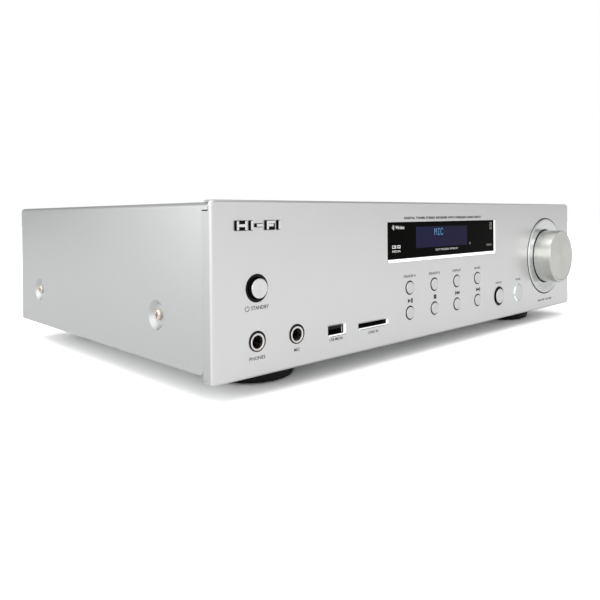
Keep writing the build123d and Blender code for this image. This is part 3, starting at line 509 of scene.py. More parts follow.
def lcd_glass():
    """Negative dot-matrix display: indigo backlight, stronger at its left, with faint unlit dots."""
    finish = Finish("lcd_glass", (0.003, 0.003, 0.008), 0.12, Specular_IOR_Level=0.03, Emission_Strength=1.0)
    x, _, z = finish.axes()
    left, right = WINDOW.at(LCD["left"], 0).x, WINDOW.at(LCD["right"], 0).x
    low, high = WINDOW.at(0, LCD["low"]).z, WINDOW.at(0, LCD["high"]).z
    across = finish.span(x, 0.0, 1.0, left, right)
    up = finish.span(z, 0.0, 1.0, low, high)
    side = finish.span(across, 0.0, 1.0, 0.0, 0.75)
    base = finish.mix(side, (0.0145, 0.0165, 0.060), (0.0115, 0.0105, 0.028))
    warm = finish.mix(finish.times(finish.math("SUBTRACT", 1.0, up), 0.6), base, (0.020, 0.009, 0.040))
    cloud = finish.noise(7.0, detail=2.0)
    glow = finish.mix(finish.span(cloud, 0.0, 0.35, 0.3, 0.8), warm, (0.009, 0.009, 0.026))
    finish.set("Emission Color", glow)
    finish.roughen(finish.noise(5.0, shift=3.0), 0.08, 0.16)
    finish.relief((finish.noise(3.0, shift=5.0), 1.0))
    return finish


def lcd_dot(name, colour, strength):
    finish = Finish(name, shade(colour, 0.1), 0.3, Specular_IOR_Level=0.03, Emission_Strength=strength)
    speck = finish.noise(0.35, detail=2.0)
    finish.set("Emission Color", finish.mix(speck, shade(colour, 0.85), colour))
    finish.roughen(speck, 0.25, 0.4)
    finish.relief((speck, 1.0))
    return finish


def sensor_red():
    finish = Finish("sensor_red", (0.09, 0.05, 0.05), 0.25)
    finish.paint(finish.noise(0.8), (0.07, 0.045, 0.045), (0.16, 0.12, 0.12))
    finish.roughen(finish.noise(0.4, shift=2.0), 0.2, 0.35)
    finish.relief((finish.noise(0.5, shift=1.0), 2.0))
    return finish


# ---- shapes ----
def rounded(corners, steps=5):
    """An outline through (a, b, radius) corners, each rounded by its radius."""
    points = []
    for index, (a, b, radius) in enumerate(corners):
        here = Vector((a, b))
        if radius == 0:
            points.append((a, b))
            continue
        before = Vector(corners[index - 1][:2]) - here
        after = Vector(corners[(index + 1) % len(corners)][:2]) - here
        before.normalize()
        after.normalize()
        half = before.angle(after) / 2
        centre = here + (before + after).normalized() * radius / math.sin(half)
        start = here + before * radius / math.tan(half) - centre
        end = here + after * radius / math.tan(half) - centre
        first, last = math.atan2(start.y, start.x), math.atan2(end.y, end.x)
        sweep = (last - first + math.pi) % (2 * math.pi) - math.pi
        for step in range(steps + 1):
            angle = first + sweep * step / steps
            points.append((centre.x + radius * math.cos(angle), centre.y + radius * math.sin(angle)))
    return points


def lathe(mesh, centre, outline, segments=96):
    """Turns a closed outline of (radius, along) points about the Y line through centre."""
    rings = []
    for radius, along in outline:
        count = 1 if radius < 1e-6 else segments
        ring = []
        for step in range(count):
            angle = 2 * math.pi * step / segments
            offset = Vector((radius * math.cos(angle), along, radius * math.sin(angle)))
            ring.append(mesh.verts.new(centre + offset * MM))
        rings.append(ring)
    solid_core = len(rings[0]) == 1 and len(rings[-1]) == 1
    followers = rings[1:] if solid_core else rings[1:] + rings[:1]
    for near, far in zip(rings, followers):
        for step in range(segments):
            after = (step + 1) % segments
            corners = ((near, step), (near, after), (far, after), (far, step))
            distinct = list(dict.fromkeys(ring[at % len(ring)] for ring, at in corners))
            if len(distinct) > 2:
                mesh.faces.new(distinct)


def prism(mesh, face, outline, low, high):
    """A flat shape on a face, its (u, v) outline raised from low to high millimetres above it."""
    loft(mesh, [[face.at(u, v, out) for u, v in outline] for out in (low, high)])


def upright_bar(mesh, face, outline, low, high):
    """A bar drawn upwards on a face from its (u, out) outline."""
    loft(mesh, [[face.at(u, v, out) for u, out in outline] for v in (low, high)])


def level_bar(mesh, face, outline, left, right):
    """A bar drawn across a face from its (v, out) outline."""
    loft(mesh, [[face.at(u, v, out) for v, out in outline] for u in (left, right)])


def loft(mesh, ends):
    """A closed solid between two outlines of points in metres."""
    first, last = [[mesh.verts.new(point) for point in end] for end in ends]
    made = [mesh.faces.new(first), mesh.faces.new(last[::-1])]
    for index in range(len(first)):
        after = (index + 1) % len(first)
        made.append(mesh.faces.new([first[after], first[index], last[index], last[after]]))
    bmesh.ops.recalc_face_normals(mesh, faces=made)


def rectangle(u, v, width, height, corner=0.0):
    """The outline of a rectangle about its centre, with rounded corners if asked."""
    half_w, half_h = width / 2, height / 2
    ways = ((-1, -1), (1, -1), (1, 1), (-1, 1))
    return rounded([(u + half_w * right, v + half_h * up, corner) for right, up in ways], 3)


def frame_outline(mesh, face, u, v, width, height, line, low, high):
    """A thin rectangular line."""
    half_w, half_h = width / 2, height / 2
    for side in (-1, 1):
        upright = rectangle(u + side * (half_w - line / 2), v, line, height)
        across = rectangle(u, v + side * (half_h - line / 2), width - 2 * line, line)
        prism(mesh, face, upright, low, high)
        prism(mesh, face, across, low, high)


def arc_line(mesh, face, u, v, radius, line, start, end, low, high, steps=14):
    """A thin arc between two angles in degrees, anticlockwise from the right."""
    angles = [math.radians(start + (end - start) * step / steps) for step in range(steps + 1)]
    inner, outer = (
        [(u + edge * math.cos(angle), v + edge * math.sin(angle)) for angle in angles]
        for edge in (radius - line / 2, radius + line / 2)
    )
    for step in range(steps):
        prism(mesh, face, [inner[step], outer[step], outer[step + 1], inner[step + 1]], low, high)


def disc(u, v, radius, steps=24):
    angles = [2 * math.pi * step / steps for step in range(steps)]
    return [(u + radius * math.cos(angle), v + radius * math.sin(angle)) for angle in angles]


def tube(inner, outer, front, back):
    """The outline of a plain tube, for lathe."""
    return [(inner, front), (outer, front), (outer, back), (inner, back)]


def words(mesh, face, text, u, v, height, low, high, width=None, weight=0.012):
    """Lettering centred on (u, v), with capitals of this height, squeezed or stretched to a given width."""
    curve = bpy.data.curves.new("lettering", "FONT")
    curve.body = text
    curve.align_x = "CENTER"
    curve.resolution_u = 2
    curve.extrude = 0.5
    curve.offset = weight
    carrier = add_object("lettering", curve)
    bpy.context.view_layer.update()
    letters = bpy.data.meshes.new_from_object(carrier.evaluated_get(bpy.context.evaluated_depsgraph_get()))
    bpy.data.objects.remove(carrier)
    bpy.data.curves.remove(curve)
    span_x = [vert.co.x for vert in letters.vertices]
    natural = max(span_x) - min(span_x)
    scale_v = height / CAPITAL
    scale_u = width / natural if width else scale_v
    centre_x = (max(span_x) + min(span_x)) / 2
    for vert in letters.vertices:
        out = low + (vert.co.z + 0.5) * (high - low)
        right, up = (vert.co.x - centre_x) * scale_u, (vert.co.y - CAPITAL / 2) * scale_v
        vert.co = face.at(u + right, v + up, out)
    mesh.from_mesh(letters)
    bpy.data.meshes.remove(letters)


CAPITAL = 0.69  # height of a capital in the built-in font at size 1


def add_object(name, data):
    made = bpy.data.objects.new(name, data)
    bpy.context.scene.collection.objects.link(made)
    return made


def piece(name, mesh, finish, body="receiver", replaces=(), sharp=35):
    """Turns a bmesh into a piece that rides on a CAD body."""
    bmesh.ops.recalc_face_normals(mesh, faces=mesh.faces)
    data = bpy.data.meshes.new(name)
    mesh.to_mesh(data)
    mesh.free()
    data.polygons.foreach_set("use_smooth", [True] * len(data.polygons))
    data.set_sharp_from_angle(angle=math.radians(sharp))
    data.materials.append(finish.material)
    made = add_object(name, data)
    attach(made, body)
    if replaces:
        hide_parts(*replaces)


def turned_piece(name, centre, outline, segments, finish, body="receiver", replaces=(), sharp=35):
    """A piece that is one turned outline."""
    mesh = bmesh.new()
    lathe(mesh, centre, outline, segments)
    piece(name, mesh, finish, body, replaces, sharp)


# ---- the front: turned parts ----
def depth_of(node):
    """The nearest and furthest depth of a node behind the panel's front face, in millimetres."""
    low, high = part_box(node)
    return (low.y - panel_low.y) / MM, (high.y - panel_low.y) / MM


def radius_of(node):
    low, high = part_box(node)
    return (high.x - low.x) / 2 / MM


def volume_knob():
    """A cup with a shallow face inside a raised rim, pressed on its shaft."""
    centre = on_axis("volume_knob")
    face, rim = depth_of("volume_knob")
    radius = radius_of("volume_knob")
    shaft = radius_of("volume_shaft")
    # The knob's waist carries a near-black sleeve: painted shade.
    skirt, shadow = 1.5, -0.15  # how far the thin end and the dark waist reach behind the panel's face
    hub = 6.0
    outline = [(0, face + 0.25)] + rounded([
        (0, face + 0.25, 0),
        (radius - 2.3, face + 0.25, 0.3),
        (radius - 1.7, face, 0.2),
        (radius - 0.5, face, 0.12),
        (radius, face + 0.6, 0.15),
        (radius, shadow, 0.15),
        (radius - 0.9, shadow + 0.15, 0.1),
        (radius - 0.9, skirt, 0.2),
        (radius - 2.0, skirt, 0.3),
        (radius - 2.0, face + 3, 0.8),
        (hub, face + 3, 0.6),
        (hub, rim, 0.2),
        (shaft, rim, 0.2),
        (shaft, face + 4.5, 0),
        (0, face + 4.5, 0),
    ])[1:]
    slot, body = "knob_aluminium", "volume_control"
    finish = turned_metal(slot, (0.67, 0.67, 0.64), centre, 0.24)
    turned_piece("volume_knob_cap", centre, outline, 180, finish, body, ("volume_knob",), 50)
    shade_lining("volume_knob_waist", centre, tube(radius - 1.2, radius - 0.82, shadow + 0.3, skirt), body)


def volume_ring():
    """The dished ring round the knob, and near-black sheets of painted shade in the gaps on either side of
    it.
    """
    centre = on_axis("volume_ring")
    face, back = depth_of("volume_ring")
    outer = radius_of("volume_ring") - 0.15
    inner = radius_of("volume_knob") + 0.75
    outline = rounded([
        (inner, back, 0.2),
        (outer, back, 0.2),
        (outer, face + 0.7, 0.2),
        (outer - 0.9, face, 0.3),
        (outer - 1.9, face + 0.1, 0.4),
        (inner + 0.5, face + 0.9, 0.3),
        (inner, face + 1.15, 0.2),
    ])
    slot = "ring_aluminium"
    finish = turned_metal(slot, (0.79, 0.805, 0.81), centre, 0.25)
    turned_piece("volume_bezel", centre, outline, 180, finish, replaces=("volume_ring",), sharp=50)
    deep = 3.9
    shade_lining("volume_ring_gap", centre, gap_shade_outline(outer + 0.05, outer + 0.68, 0.1, deep))
    shade_lining("volume_knob_gap", centre, tube(inner - 0.7, inner + 0.02, 0.2, deep))


def gap_shade_outline(inner, outer, lap, deep):
    """The outline of a near-black sheet of painted shade between two radii, with a hair-thin lap over the
    panel's face.
    """
    wide, hair = outer + lap, -0.03
    return [(inner, deep), (outer, deep), (outer, 0.0), (wide, 0.0), (wide, hair), (inner, hair)]


# Near-black turned sheets set in the gaps round the controls: painted shade.
def shade_lining(name, centre, outline, body="receiver"):
    turned_piece(name, centre, outline, 144, FINISHES["painted_gap_shade"], body)


CAP_FLANGE, RING_FLANGE = 1.1, 1.25  # how far the flanges of caps and bezels stand out behind the panel
# The dark sleeve round a button is painted shade.
GAP_DEEP = 3.0  # of the dark lining round a button


def cap(node, body, finish, dish, radius, sleeve=0.0, sunk=0.0):
    """A push button: rounded rim, faintly dished face, flange and plunger, and a near-black sleeve of painted
    shade if asked.
    """
    centre = on_axis(node)
    front, plunger = depth_of(node)
    front += sunk
    near, far, stem = 8.6, 9.8, 1.6  # the flange's two faces and the plunger's radius
    outline = [(0, front + dish)]
    for share in (0.25, 0.5, 0.75):
        outline.append(((radius - 0.8) * share, front + dish * (1 - share * share)))
    outline += rounded([(0, front, 0), (radius, front, 0.35), (radius, near, 0)])[1:-1]
    outline += [(radius, near), (radius + CAP_FLANGE, near), (radius + CAP_FLANGE, far), (stem, far)]
    outline += [(stem, plunger), (0, plunger)]
    turned_piece(node + "_cap", centre, outline, 72, finish, body, (node,), 40)
    if sleeve:
        shade_lining(node + "_skirt", centre, tube(radius - 0.3, radius + 0.04, front + sleeve, GAP_DEEP), body)
    return centre


def bezel(node, finish, inner, front):
    """A ring that fills the panel's hole and holds its button's flange behind it."""
    centre = on_axis(node)
    back = depth_of(node)[1]
    wide = radius_of(node)
    outer, panel_back = wide - RING_FLANGE, (panel_high.y - panel_low.y) / MM
    outline = rounded([
        (inner, front + 0.35, 0.2),
        (inner + 0.35, front, 0.15),
        (outer, front, 0.15),
        (outer, panel_back, 0.1),
        (wide, panel_back, 0.1),
        (wide, back, 0.1),
        (inner, back, 0.1),
    ], 3)
    turned_piece(node + "_bezel", centre, outline, 96, finish, replaces=(node,), sharp=40)


# ---- the front: sockets ----
# The middle and size of the USB mouth and of the card slot, and the width of each one's bright lip.
USB_MOUTH = (83.45, 14.7), (12.2, 4.7), 1.15
CARD_MOUTH = (114.6, 14.05), (25.0, 2.5), 1.0


def jack_lips():
    """Flared lips in the bores of the two jacks."""
    bore, sleeve, deep = 3.2, 3.88, 8.9
    outline = rounded([
        (bore, deep, 0),
        (bore, 0.5, 0.4),
        (bore + 0.1, -0.3, 0.1),
        (4.15, -0.47, 0.1),
        (4.3, -0.3, 0.05),
        (sleeve, 0.4, 0.1),
        (sleeve, deep, 0),
    ], 4)
    lips = bmesh.new()
    for node in ("phones_jack", "mic_jack"):
        lathe(lips, on_axis(node), outline, 72)
    piece("jack_lips", lips, FINISHES["jack_nickel"], "receiver", ("jack_sleeves",), 40)


def mouth_edges():
    """Bevels on the right and lower edges of the two mouths, which glow as a painted highlight, and a thin
    dark strip of painted shadow below each.
    """
    edges, shadow_strips = bmesh.new(), bmesh.new()
    root = -0.35
    for (u, v), (width, height), lip in (USB_MOUTH, CARD_MOUTH):
        left, right, low = u - width / 2, u + width / 2, v - height / 2
        slope = [(right, root), (right + lip * 0.75, 0.22), (right + lip, 0.0), (right + lip * 0.9, root)]
        upright_bar(edges, FRONT, slope, low, v + height / 2)
        slope = [(low, root), (low - lip * 0.45, 0.16), (low - lip * 0.6, 0.0), (low - lip * 0.55, root)]
        level_bar(edges, FRONT, slope, left, right)
        # A thin dark strip under each lip: painted shadow.
        under = low - lip * 0.6
        level_bar(shadow_strips, FRONT, tube(under, under - 0.3, 0.0, 0.03), left + 0.8, right + lip)
    piece("mouth_edges", edges, FINISHES["polished_edge"])
    piece("mouth_painted_shadows", shadow_strips, ink("painted_shadow_grey", (0.09, 0.09, 0.09)))


def usb_socket():
    """A folded steel shell with a black tongue and four contacts; near-black sheets of painted shade inside,
    and a bright bar that is a painted reflection of the right wall.
    """
    u, v = place_on_front("usb_port")[0], USB_MOUTH[0][1]
    wide, high, sheet = 13.3, 5.9, 0.4
    back, mouth, inside = -16.0, -1.3, high - 2 * sheet
    shell, tongue, contacts_and_glint, dark = (bmesh.new() for _ in range(4))
    for side in (-1, 1):
        prism(shell, FRONT, rectangle(u, v + side * (high - sheet) / 2, wide, sheet), back, mouth)
        prism(shell, FRONT, rectangle(u + side * (wide - sheet) / 2, v, sheet, inside), back, mouth)
        # Near-black sheets just inside the walls: painted shade in the mouth.
        prism(dark, FRONT, rectangle(u + side * 6.2, v, 0.12, 5.0), back + 1, mouth - 0.02)
        prism(dark, FRONT, rectangle(u, v + side * 2.5, 12.4, 0.12), back + 1, mouth - 0.02)
    prism(shell, FRONT, rectangle(u, v, 12.5, inside), back, back + 0.7)
    prism(shell, FRONT, rectangle(u, v - 3.85, 12.8, 1.8), back, -9.0)
    piece("usb_shell", shell, FINISHES["plated_metal"], "receiver", ("usb_port",))
    prism(tongue, FRONT, rectangle(u, v + 0.9, 11.0, 1.8), back + 0.6, -2.8)
    piece("usb_tongue", tongue, FINISHES["gloss_black"])
    spread = 7.0
    for index in range(4):
        prism(contacts_and_glint, FRONT, rectangle(u + spread * (index / 3 - 0.5), v - 0.03, 1.1, 0.1), -12.0, -4.0)
    # A bright bar by the right wall: a painted reflection of that wall.
    prism(contacts_and_glint, FRONT, rectangle(u + 5.4, v - 0.1, 0.4, 3.4), -6.0, -1.5)
    piece("usb_contacts_and_glint", contacts_and_glint, FINISHES["jack_nickel"])
    piece("usb_shade_sheets", dark, FINISHES["painted_gap_shade"])


# ---- the front: prints ----
PRINT = (0.0, 0.035)  # a print's lowest and highest surface above its face, in millimetres
# Text, node that it names, its place right of and above that node's middle, height of the capitals, width.
NAMES = (
    ("SPEAKER A", "speaker_a_button", 0.0, 7.25, 1.5, 12.4),
    ("SPEAKER B", "speaker_b_button", 0.0, 7.25, 1.5, 12.4),
    ("DISPLAY", "display_button", 0.0, 7.25, 1.5, 10.6),
    ("BAND", "band_button", 0.0, 7.25, 1.5, 7.6),
    ("INPUT", "input_button", 0.0, 9.9, 1.5, 9.0),
    ("PAIR", "pair_button", 0.0, 10.2, 1.5, 7.6),
    ("STANDBY", "standby_button", 1.9, -9.5, 1.75, 11.2),
    ("PHONES", "phones_jack", 0.0, -7.8, 1.65, 10.0),
    ("MIC", "mic_jack", 0.0, -7.8, 1.65, 3.9),
)
# Text, node, place right of the node's middle, height above the datum, width.
LOW_NAMES = (
    ("USB MEDIA", "usb_port", -0.4, 9.9, 10.6),
    ("CARD IN", "card_slot", -0.4, 9.6, 9.0),
    ("MASTER VOLUME", "volume_knob", -1.0, 6.6, 24.0),
)


def front_prints():
    mesh = bmesh.new()
    title = "DIGITAL TUNER STEREO RECEIVER WITH WIRELESS AUDIO INPUT"
    words(mesh, FRONT, title, 189.5, 75.6, 1.35, *PRINT, width=90.0, weight=0.045)
    for text, node, right, up, height, width in NAMES:
        u, v = place_on_front(node)
        words(mesh, FRONT, text, u + right, v + up, height, *PRINT, width=width)
    for text, node, right, high, width in LOW_NAMES:
        words(mesh, FRONT, text, place_on_front(node)[0] + right, high, 1.5, *PRINT, width=width)
    u, v = place_on_front("standby_button")
    power_mark(mesh, u - 6.1, v - 9.5, 1.25)
    transport_marks(mesh)
    piece("front_prints", mesh, ink("grey_ink", (0.018, 0.018, 0.02)))


BADGE_STROKES = (0.0, 6.2), (8.5, 9.8), (12.1, 16.1), (18.4, 23.8), (26.1, 27.4)  # from the badge's left
DASH, DASH_HALF = 2, 0.65


def badge_painted_shadow():
    """A black plate behind each raised letter, a little larger than it, most on the left: a painted shadow
    round the letters.
    """
    mesh = bmesh.new()
    (left, bottom), (_, top) = map(on_front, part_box("badge"))
    edge, shift = 0.3, -0.1
    for index, (start, end) in enumerate(BADGE_STROKES):
        half = DASH_HALF if index == DASH else (top - bottom) / 2
        u, wide = left + (start + end) / 2 + shift, end - start + 2 * (edge - shift)
        prism(mesh, FRONT, rectangle(u, (bottom + top) / 2, wide, 2 * (half + edge), 0.25), 0.0, 0.62)
    piece("badge_painted_shadow", mesh, FINISHES["painted_gap_shade"])


def on_front(point):
    """The (u, v) of a point on FRONT."""
    return (point.x - panel_low.x) / MM, (point.z - DATUM) / MM


def place_on_front(node):
    return on_front(middle(node))


def power_mark(mesh, u, v, radius):
    arc_line(mesh, FRONT, u, v, radius, 0.32, 125, 415, *PRINT)
    prism(mesh, FRONT, rectangle(u, v + radius * 0.75, 0.32, radius * 1.1), *PRINT)


def triangle(u, v, size, way):
    half = size / 2
    return [(u - way * half, v - half), (u + way * half, v), (u - way * half, v + half)][::way]


def transport_marks(mesh):
    """Play and pause, stop, previous and next, between the two rows of buttons."""
    size, line, lift, shift = 2.8, 0.85, 7.5, 0.6
    u, v = place_on_front("play_button")
    u += shift
    prism(mesh, FRONT, triangle(u - 1.2, v + lift, size, 1), *PRINT)
    for offset in (0.75, 1.85):
        prism(mesh, FRONT, rectangle(u + offset, v + lift, line, size), *PRINT)
    u, v = place_on_front("stop_button")
    u += shift
    prism(mesh, FRONT, rectangle(u, v + lift, size, size), *PRINT)
    for node, way in (("previous_button", -1), ("next_button", 1)):
        u, v = place_on_front(node)
        u += shift
        for offset in (-1.25, 0.85):
            prism(mesh, FRONT, triangle(u + way * offset, v + lift, size * 0.95, way), *PRINT)
        prism(mesh, FRONT, rectangle(u + way * 2.35, v + lift, line, size), *PRINT)


# ---- the back ----
PHONO_X, PHONO_Z = (-56.0, -36.0, -16.0), (46.0, 28.0)
LEVER_X, LEVER_Z = (65.0, 87.0, 109.0, 131.0), (55.0, 27.0)
AERIAL, SWITCH, INLET = (-95.0, 58.0), (-158.0, 58.0), (-158.0, 26.0)


# Text, its place along X and above the datum, height of the capitals.
REAR_NAMES = (
    ("SPEAKERS", 98.0, 72.6, 1.9), ("RIGHT", 76.0, 72.6, 1.7), ("LEFT", 120.0, 72.6, 1.7),
    ("A", 147.5, 60.0, 2.6), ("B", 147.5, 32.0, 2.6),
    ("LINE 1", PHONO_X[0], 54.6, 1.9), ("LINE 2", PHONO_X[1], 54.6, 1.9), ("LINE 3", PHONO_X[2], 54.6, 1.9),
    ("INPUTS", PHONO_X[1], 60.5, 2.3), ("L", -6.5, PHONO_Z[0], 2.2), ("R", -6.5, PHONO_Z[1], 2.2),
    ("ANTENNA", AERIAL[0], 48.6, 2.0), ("POWER", SWITCH[0], 69.0, 2.0), ("MAINS INPUT", INLET[0], 38.4, 2.0),
)


def rear_prints():
    """Plain names beside the sockets, read from behind."""
    mesh = bmesh.new()
    for text, x, v, height in REAR_NAMES:
        words(mesh, REAR, text, -x, v, height, *PRINT)
    piece("rear_prints", mesh, FINISHES["white_ink"])


def phono_shells():
    """Plated barrels with white inserts for the left channel and red for the right."""
    outer = [(3.5, 0.7), (4.34, 0.7), (4.34, 8.8), (4.15, 9.12), (3.5, 9.12)]
    barrel = rounded([(*point, 0.12) for point in outer], 3)
    inner = rounded([(1.62, 8.9, 0), (1.95, 8.9, 0), (1.95, 9.3, 0.1), (1.62, 9.3, 0.1)], 3)
    insert = [(1.94, 8.9), (3.52, 8.9), (3.52, 9.06), (1.94, 9.2)]
    washer = rounded([(4.3, 0.58, 0), (5.7, 0.58, 0), (5.7, 1.0, 0.25), (4.3, 1.0, 0)], 3)
    barrels, white, red = (bmesh.new() for _ in range(3))
    for x in PHONO_X:
        for z, colour in zip(PHONO_Z, (white, red)):
            centre = REAR.at(-x, z)
            lathe(barrels, centre, barrel, 48)
            lathe(barrels, centre, inner, 32)
            lathe(colour, centre, insert, 48)
            lathe(colour, centre, washer, 48)
    piece("phono_barrels", barrels, FINISHES["jack_nickel"])
    piece("phono_white", white, moulded("insert_white", (0.70, 0.70, 0.68), 0.35, 0.5, 3.0))
    piece("phono_red", red, FINISHES["lever_red"])


def aerial_thread():
    """Thread on the aerial socket, and the white insulator in its end."""
    centre = REAR.at(-AERIAL[0], AERIAL[1])
    start, pitch, turns = 2.5, 0.8, 10
    sleeve, root, crest = 4.6, 4.72, 5.06
    end = start + turns * pitch
    outline = [(sleeve, start)]
    for turn in range(turns):
        outline += [(root, start + turn * pitch), (crest, start + (turn + 0.5) * pitch)]
    outline += [(root, end), (sleeve, end)]
    turned_piece("aerial_thread", centre, outline, 64, FINISHES["plated_metal"])
    plastic = moulded("insulator_white", (0.68, 0.68, 0.66), 0.4, 0.5, 3.0)
    turned_piece("aerial_insulator", centre, tube(1.15, 3.1, 10.8, 11.05), 40, plastic)


def rear_contacts():
    """Sprung contacts deep in the wire holes, and the two pins of the mains inlet."""
    mesh = bmesh.new()
    for x in LEVER_X:
        for z in LEVER_Z:
            prism(mesh, REAR, disc(-x, z - 5.0, 2.1), -4.95, -4.4)
            prism(mesh, REAR, rectangle(-x, z - 5.0, 0.5, 3.4), -4.4, -3.6)
    for side in (-4.3, 4.3):
        outline = [(0, -1.3), (0.7, -1.36), (1.1, -1.55), (1.26, -2.0), (1.26, -9.8), (0, -9.8)]
        lathe(mesh, REAR.at(-INLET[0] + side, INLET[1]), outline, 32)
    piece("rear_contacts", mesh, FINISHES["jack_nickel"])


def rocker_marks():
    """A bar and a ring on the two slopes of the rocker, which turn with it."""
    mesh = bmesh.new()
    pivot = REAR.at(-SWITCH[0], SWITCH[1], 1.0)
    slopes = Face(pivot, (-1, 0, 0), (0, 1, 0))
    offset, low, high = 2.6, 1.36, 1.44
    for is_bar, lean in ((True, 17.07), (False, 2.93)):
        before = set(mesh.verts)
        if is_bar:
            prism(mesh, slopes, rectangle(0.0, offset, 0.45, 2.2), low, high)
        else:
            arc_line(mesh, slopes, 0.0, -offset, 0.95, 0.42, 0, 360, low, high, steps=24)
        moved = [vert for vert in mesh.verts if vert not in before]
        bmesh.ops.rotate(mesh, verts=moved, cent=pivot, matrix=Matrix.Rotation(math.radians(-lean), 3, "X"))
    piece("rocker_marks", mesh, FINISHES["white_ink"], "mains_rocker")


# ---- the display ----
LCD = {"left": 157.9, "right": 217.5, "low": 56.4, "high": 69.9}
DOT_ROWS = {
    "M": ("10001", "11011", "10101", "10101", "10001", "10001", "10001"),
    "I": ("01110", "00100", "00100", "00100", "00100", "00100", "01110"),
    "C": ("01110", "10001", "10000", "10000", "10000", "10001", "01110"),
}


CELLS, DOTS = (2, 16), (8, 5)  # rows and columns of the display, and of the dots in one cell
MESSAGE = {(0, 5): "M", (0, 6): "I", (0, 7): "C"}


def display():
    """The lit panel behind the window, and its dots."""
    wide, high = LCD["right"] - LCD["left"], LCD["high"] - LCD["low"]
    sheet = rectangle(LCD["left"] + wide / 2, LCD["low"] + high / 2, wide, high)
    mesh = bmesh.new()
    prism(mesh, WINDOW, sheet, -0.02, 0.04)
    piece("lcd_panel", mesh, lcd_glass())

    pitch, fall, row_fall = 0.62, 0.66, 6.35
    cell_pitch = (wide - 3.2) / CELLS[1]
    margin = 2.1 + (cell_pitch - DOTS[1] * pitch) / 2
    lit, unlit = bmesh.new(), bmesh.new()
    for row, cell in itertools.product(range(CELLS[0]), range(CELLS[1])):
        top, left = LCD["high"] - 1.2 - row * row_fall, LCD["left"] + margin + cell * cell_pitch
        pattern = DOT_ROWS.get(MESSAGE.get((row, cell)), ())
        for line, column in itertools.product(range(DOTS[0]), range(DOTS[1])):
            u, v = left + (column + 0.5) * pitch, top - (line + 0.5) * fall
            if line < len(pattern) and pattern[line][column] == "1":
                prism(lit, WINDOW, rectangle(u, v, 0.52, 0.58), 0.03, 0.055)
            else:
                prism(unlit, WINDOW, rectangle(u, v, 0.5, 0.54), 0.03, 0.045)
    piece("lcd_lit_dots", lit, lcd_dot("lcd_cyan", (0.12, 0.36, 0.60), 1.0))
    piece("lcd_unlit_dots", unlit, lcd_dot("lcd_dim", (0.0165, 0.0165, 0.046), 1.0))


def window_prints():
    """White marks beside the display, and grey ones at the window's right end."""
    white = bmesh.new()
    for radius in (0.8, 1.6, 2.4):
        arc_line(white, WINDOW, 133.2, 69.9, radius, 0.38, -42, 42, *PRINT, steps=8)
    words(white, WINDOW, "Wireless", 141.4, 69.9, 2.1, *PRINT, width=8.8, weight=0.012)
    frame_outline(white, WINDOW, 135.6, 58.0, 3.8, 1.9, 0.4, *PRINT)
    prism(white, WINDOW, rectangle(136.3, 58.0, 1.0, 0.7), *PRINT)
    frame_outline(white, WINDOW, 140.2, 58.0, 3.0, 1.9, 0.5, *PRINT)
    words(white, WINDOW, "MEDIA", 137.9, 55.3, 1.3, *PRINT, width=8.2, weight=0.0)
    words(white, WINDOW, "DOT MATRIX DISPLAY", 192.6, 54.5, 1.2, *PRINT, width=26.5, weight=-0.008)
    piece("window_white_prints", white, white_ink())

    grey = bmesh.new()
    u = 249.4
    frame_outline(grey, WINDOW, u, 69.1, 2.9, 5.0, 0.3, *PRINT)
    arc_line(grey, WINDOW, u, 70.1, 0.85, 0.3, 0, 360, *PRINT, steps=16)
    for offset in (-0.6, 0.0, 0.6):
        prism(grey, WINDOW, rectangle(u, 67.7 + offset, 1.7, 0.26), *PRINT)
    words(grey, WINDOW, "STEREO", 247.0, 55.2, 1.3, *PRINT, width=7.4)
    piece("window_grey_prints", grey, ink("window_grey", (0.34, 0.33, 0.30)))


SILL_HIGH = 2.4  # height of the slope under the window
RIM = 2.95  # how far the window reaches behind the panel, round its opening


def window_edges():
    """A bright line up the right wall of the opening, and one along the slope under it, both glowing as
    painted highlights.
    """
    (left, low), (wall, high) = on_front(window_low), on_front(window_high)
    left, low, wall, high = left + RIM, low + RIM, wall - RIM + 0.05, high - RIM
    lip = (window_low.y - panel_low.y) / MM
    bead, sill = bmesh.new(), bmesh.new()
    upright_bar(bead, FRONT, [(wall + 0.02, 0.0), (wall - 0.55, -lip), (wall + 0.02, -lip)], low, high)
    piece("window_bead", bead, FINISHES["polished_edge"])
    slope, proud = lip / SILL_HIGH, 0.2
    upper, lower = low - 0.35, low - 0.75 * SILL_HIGH
    upper_out, lower_out = (proud - lip + slope * (low - level) for level in (upper, lower))
    strip = [(upper, upper_out), (lower, lower_out), (lower, -lip), (upper, -lip - 0.05)]
    level_bar(sill, FRONT, strip, left + 1.35, wall - 0.8)
    # The sill glows more strongly: a painted highlight.
    piece("window_sill", sill, polished_edge("sill_painted_highlight", 1.3))


def remote_sensor():
    outline = [(0, -0.06), (0.8, -0.05), (1.0, 0.0), (1.0, 0.05), (0, 0.05)]
    turned_piece("remote_sensor", WINDOW.at(221.0, 57.3), outline, 32, sensor_red())


# ---- light, floor and camera ----
SIDE_FALL = (-0.68, -0.17)  # change of the room's brightness towards +X and towards +Y
ROOM_LIGHT = 0.93
# Brightness against height: 0 is straight down, 0.5 the horizon, 1 straight up.
SKY_BANDS = (
    (0.0, 0.85), (0.44, 1.0), (0.70, 1.06), (0.75, 0.55),
    (0.87, 0.55), (0.90, 1.35), (0.982, 1.3), (0.996, 0.5),
)
BEHIND = (0.5, 1.0), (0.75, 1.3), (0.84, 1.25), (0.92, 0.3), (1.0, 0.05)
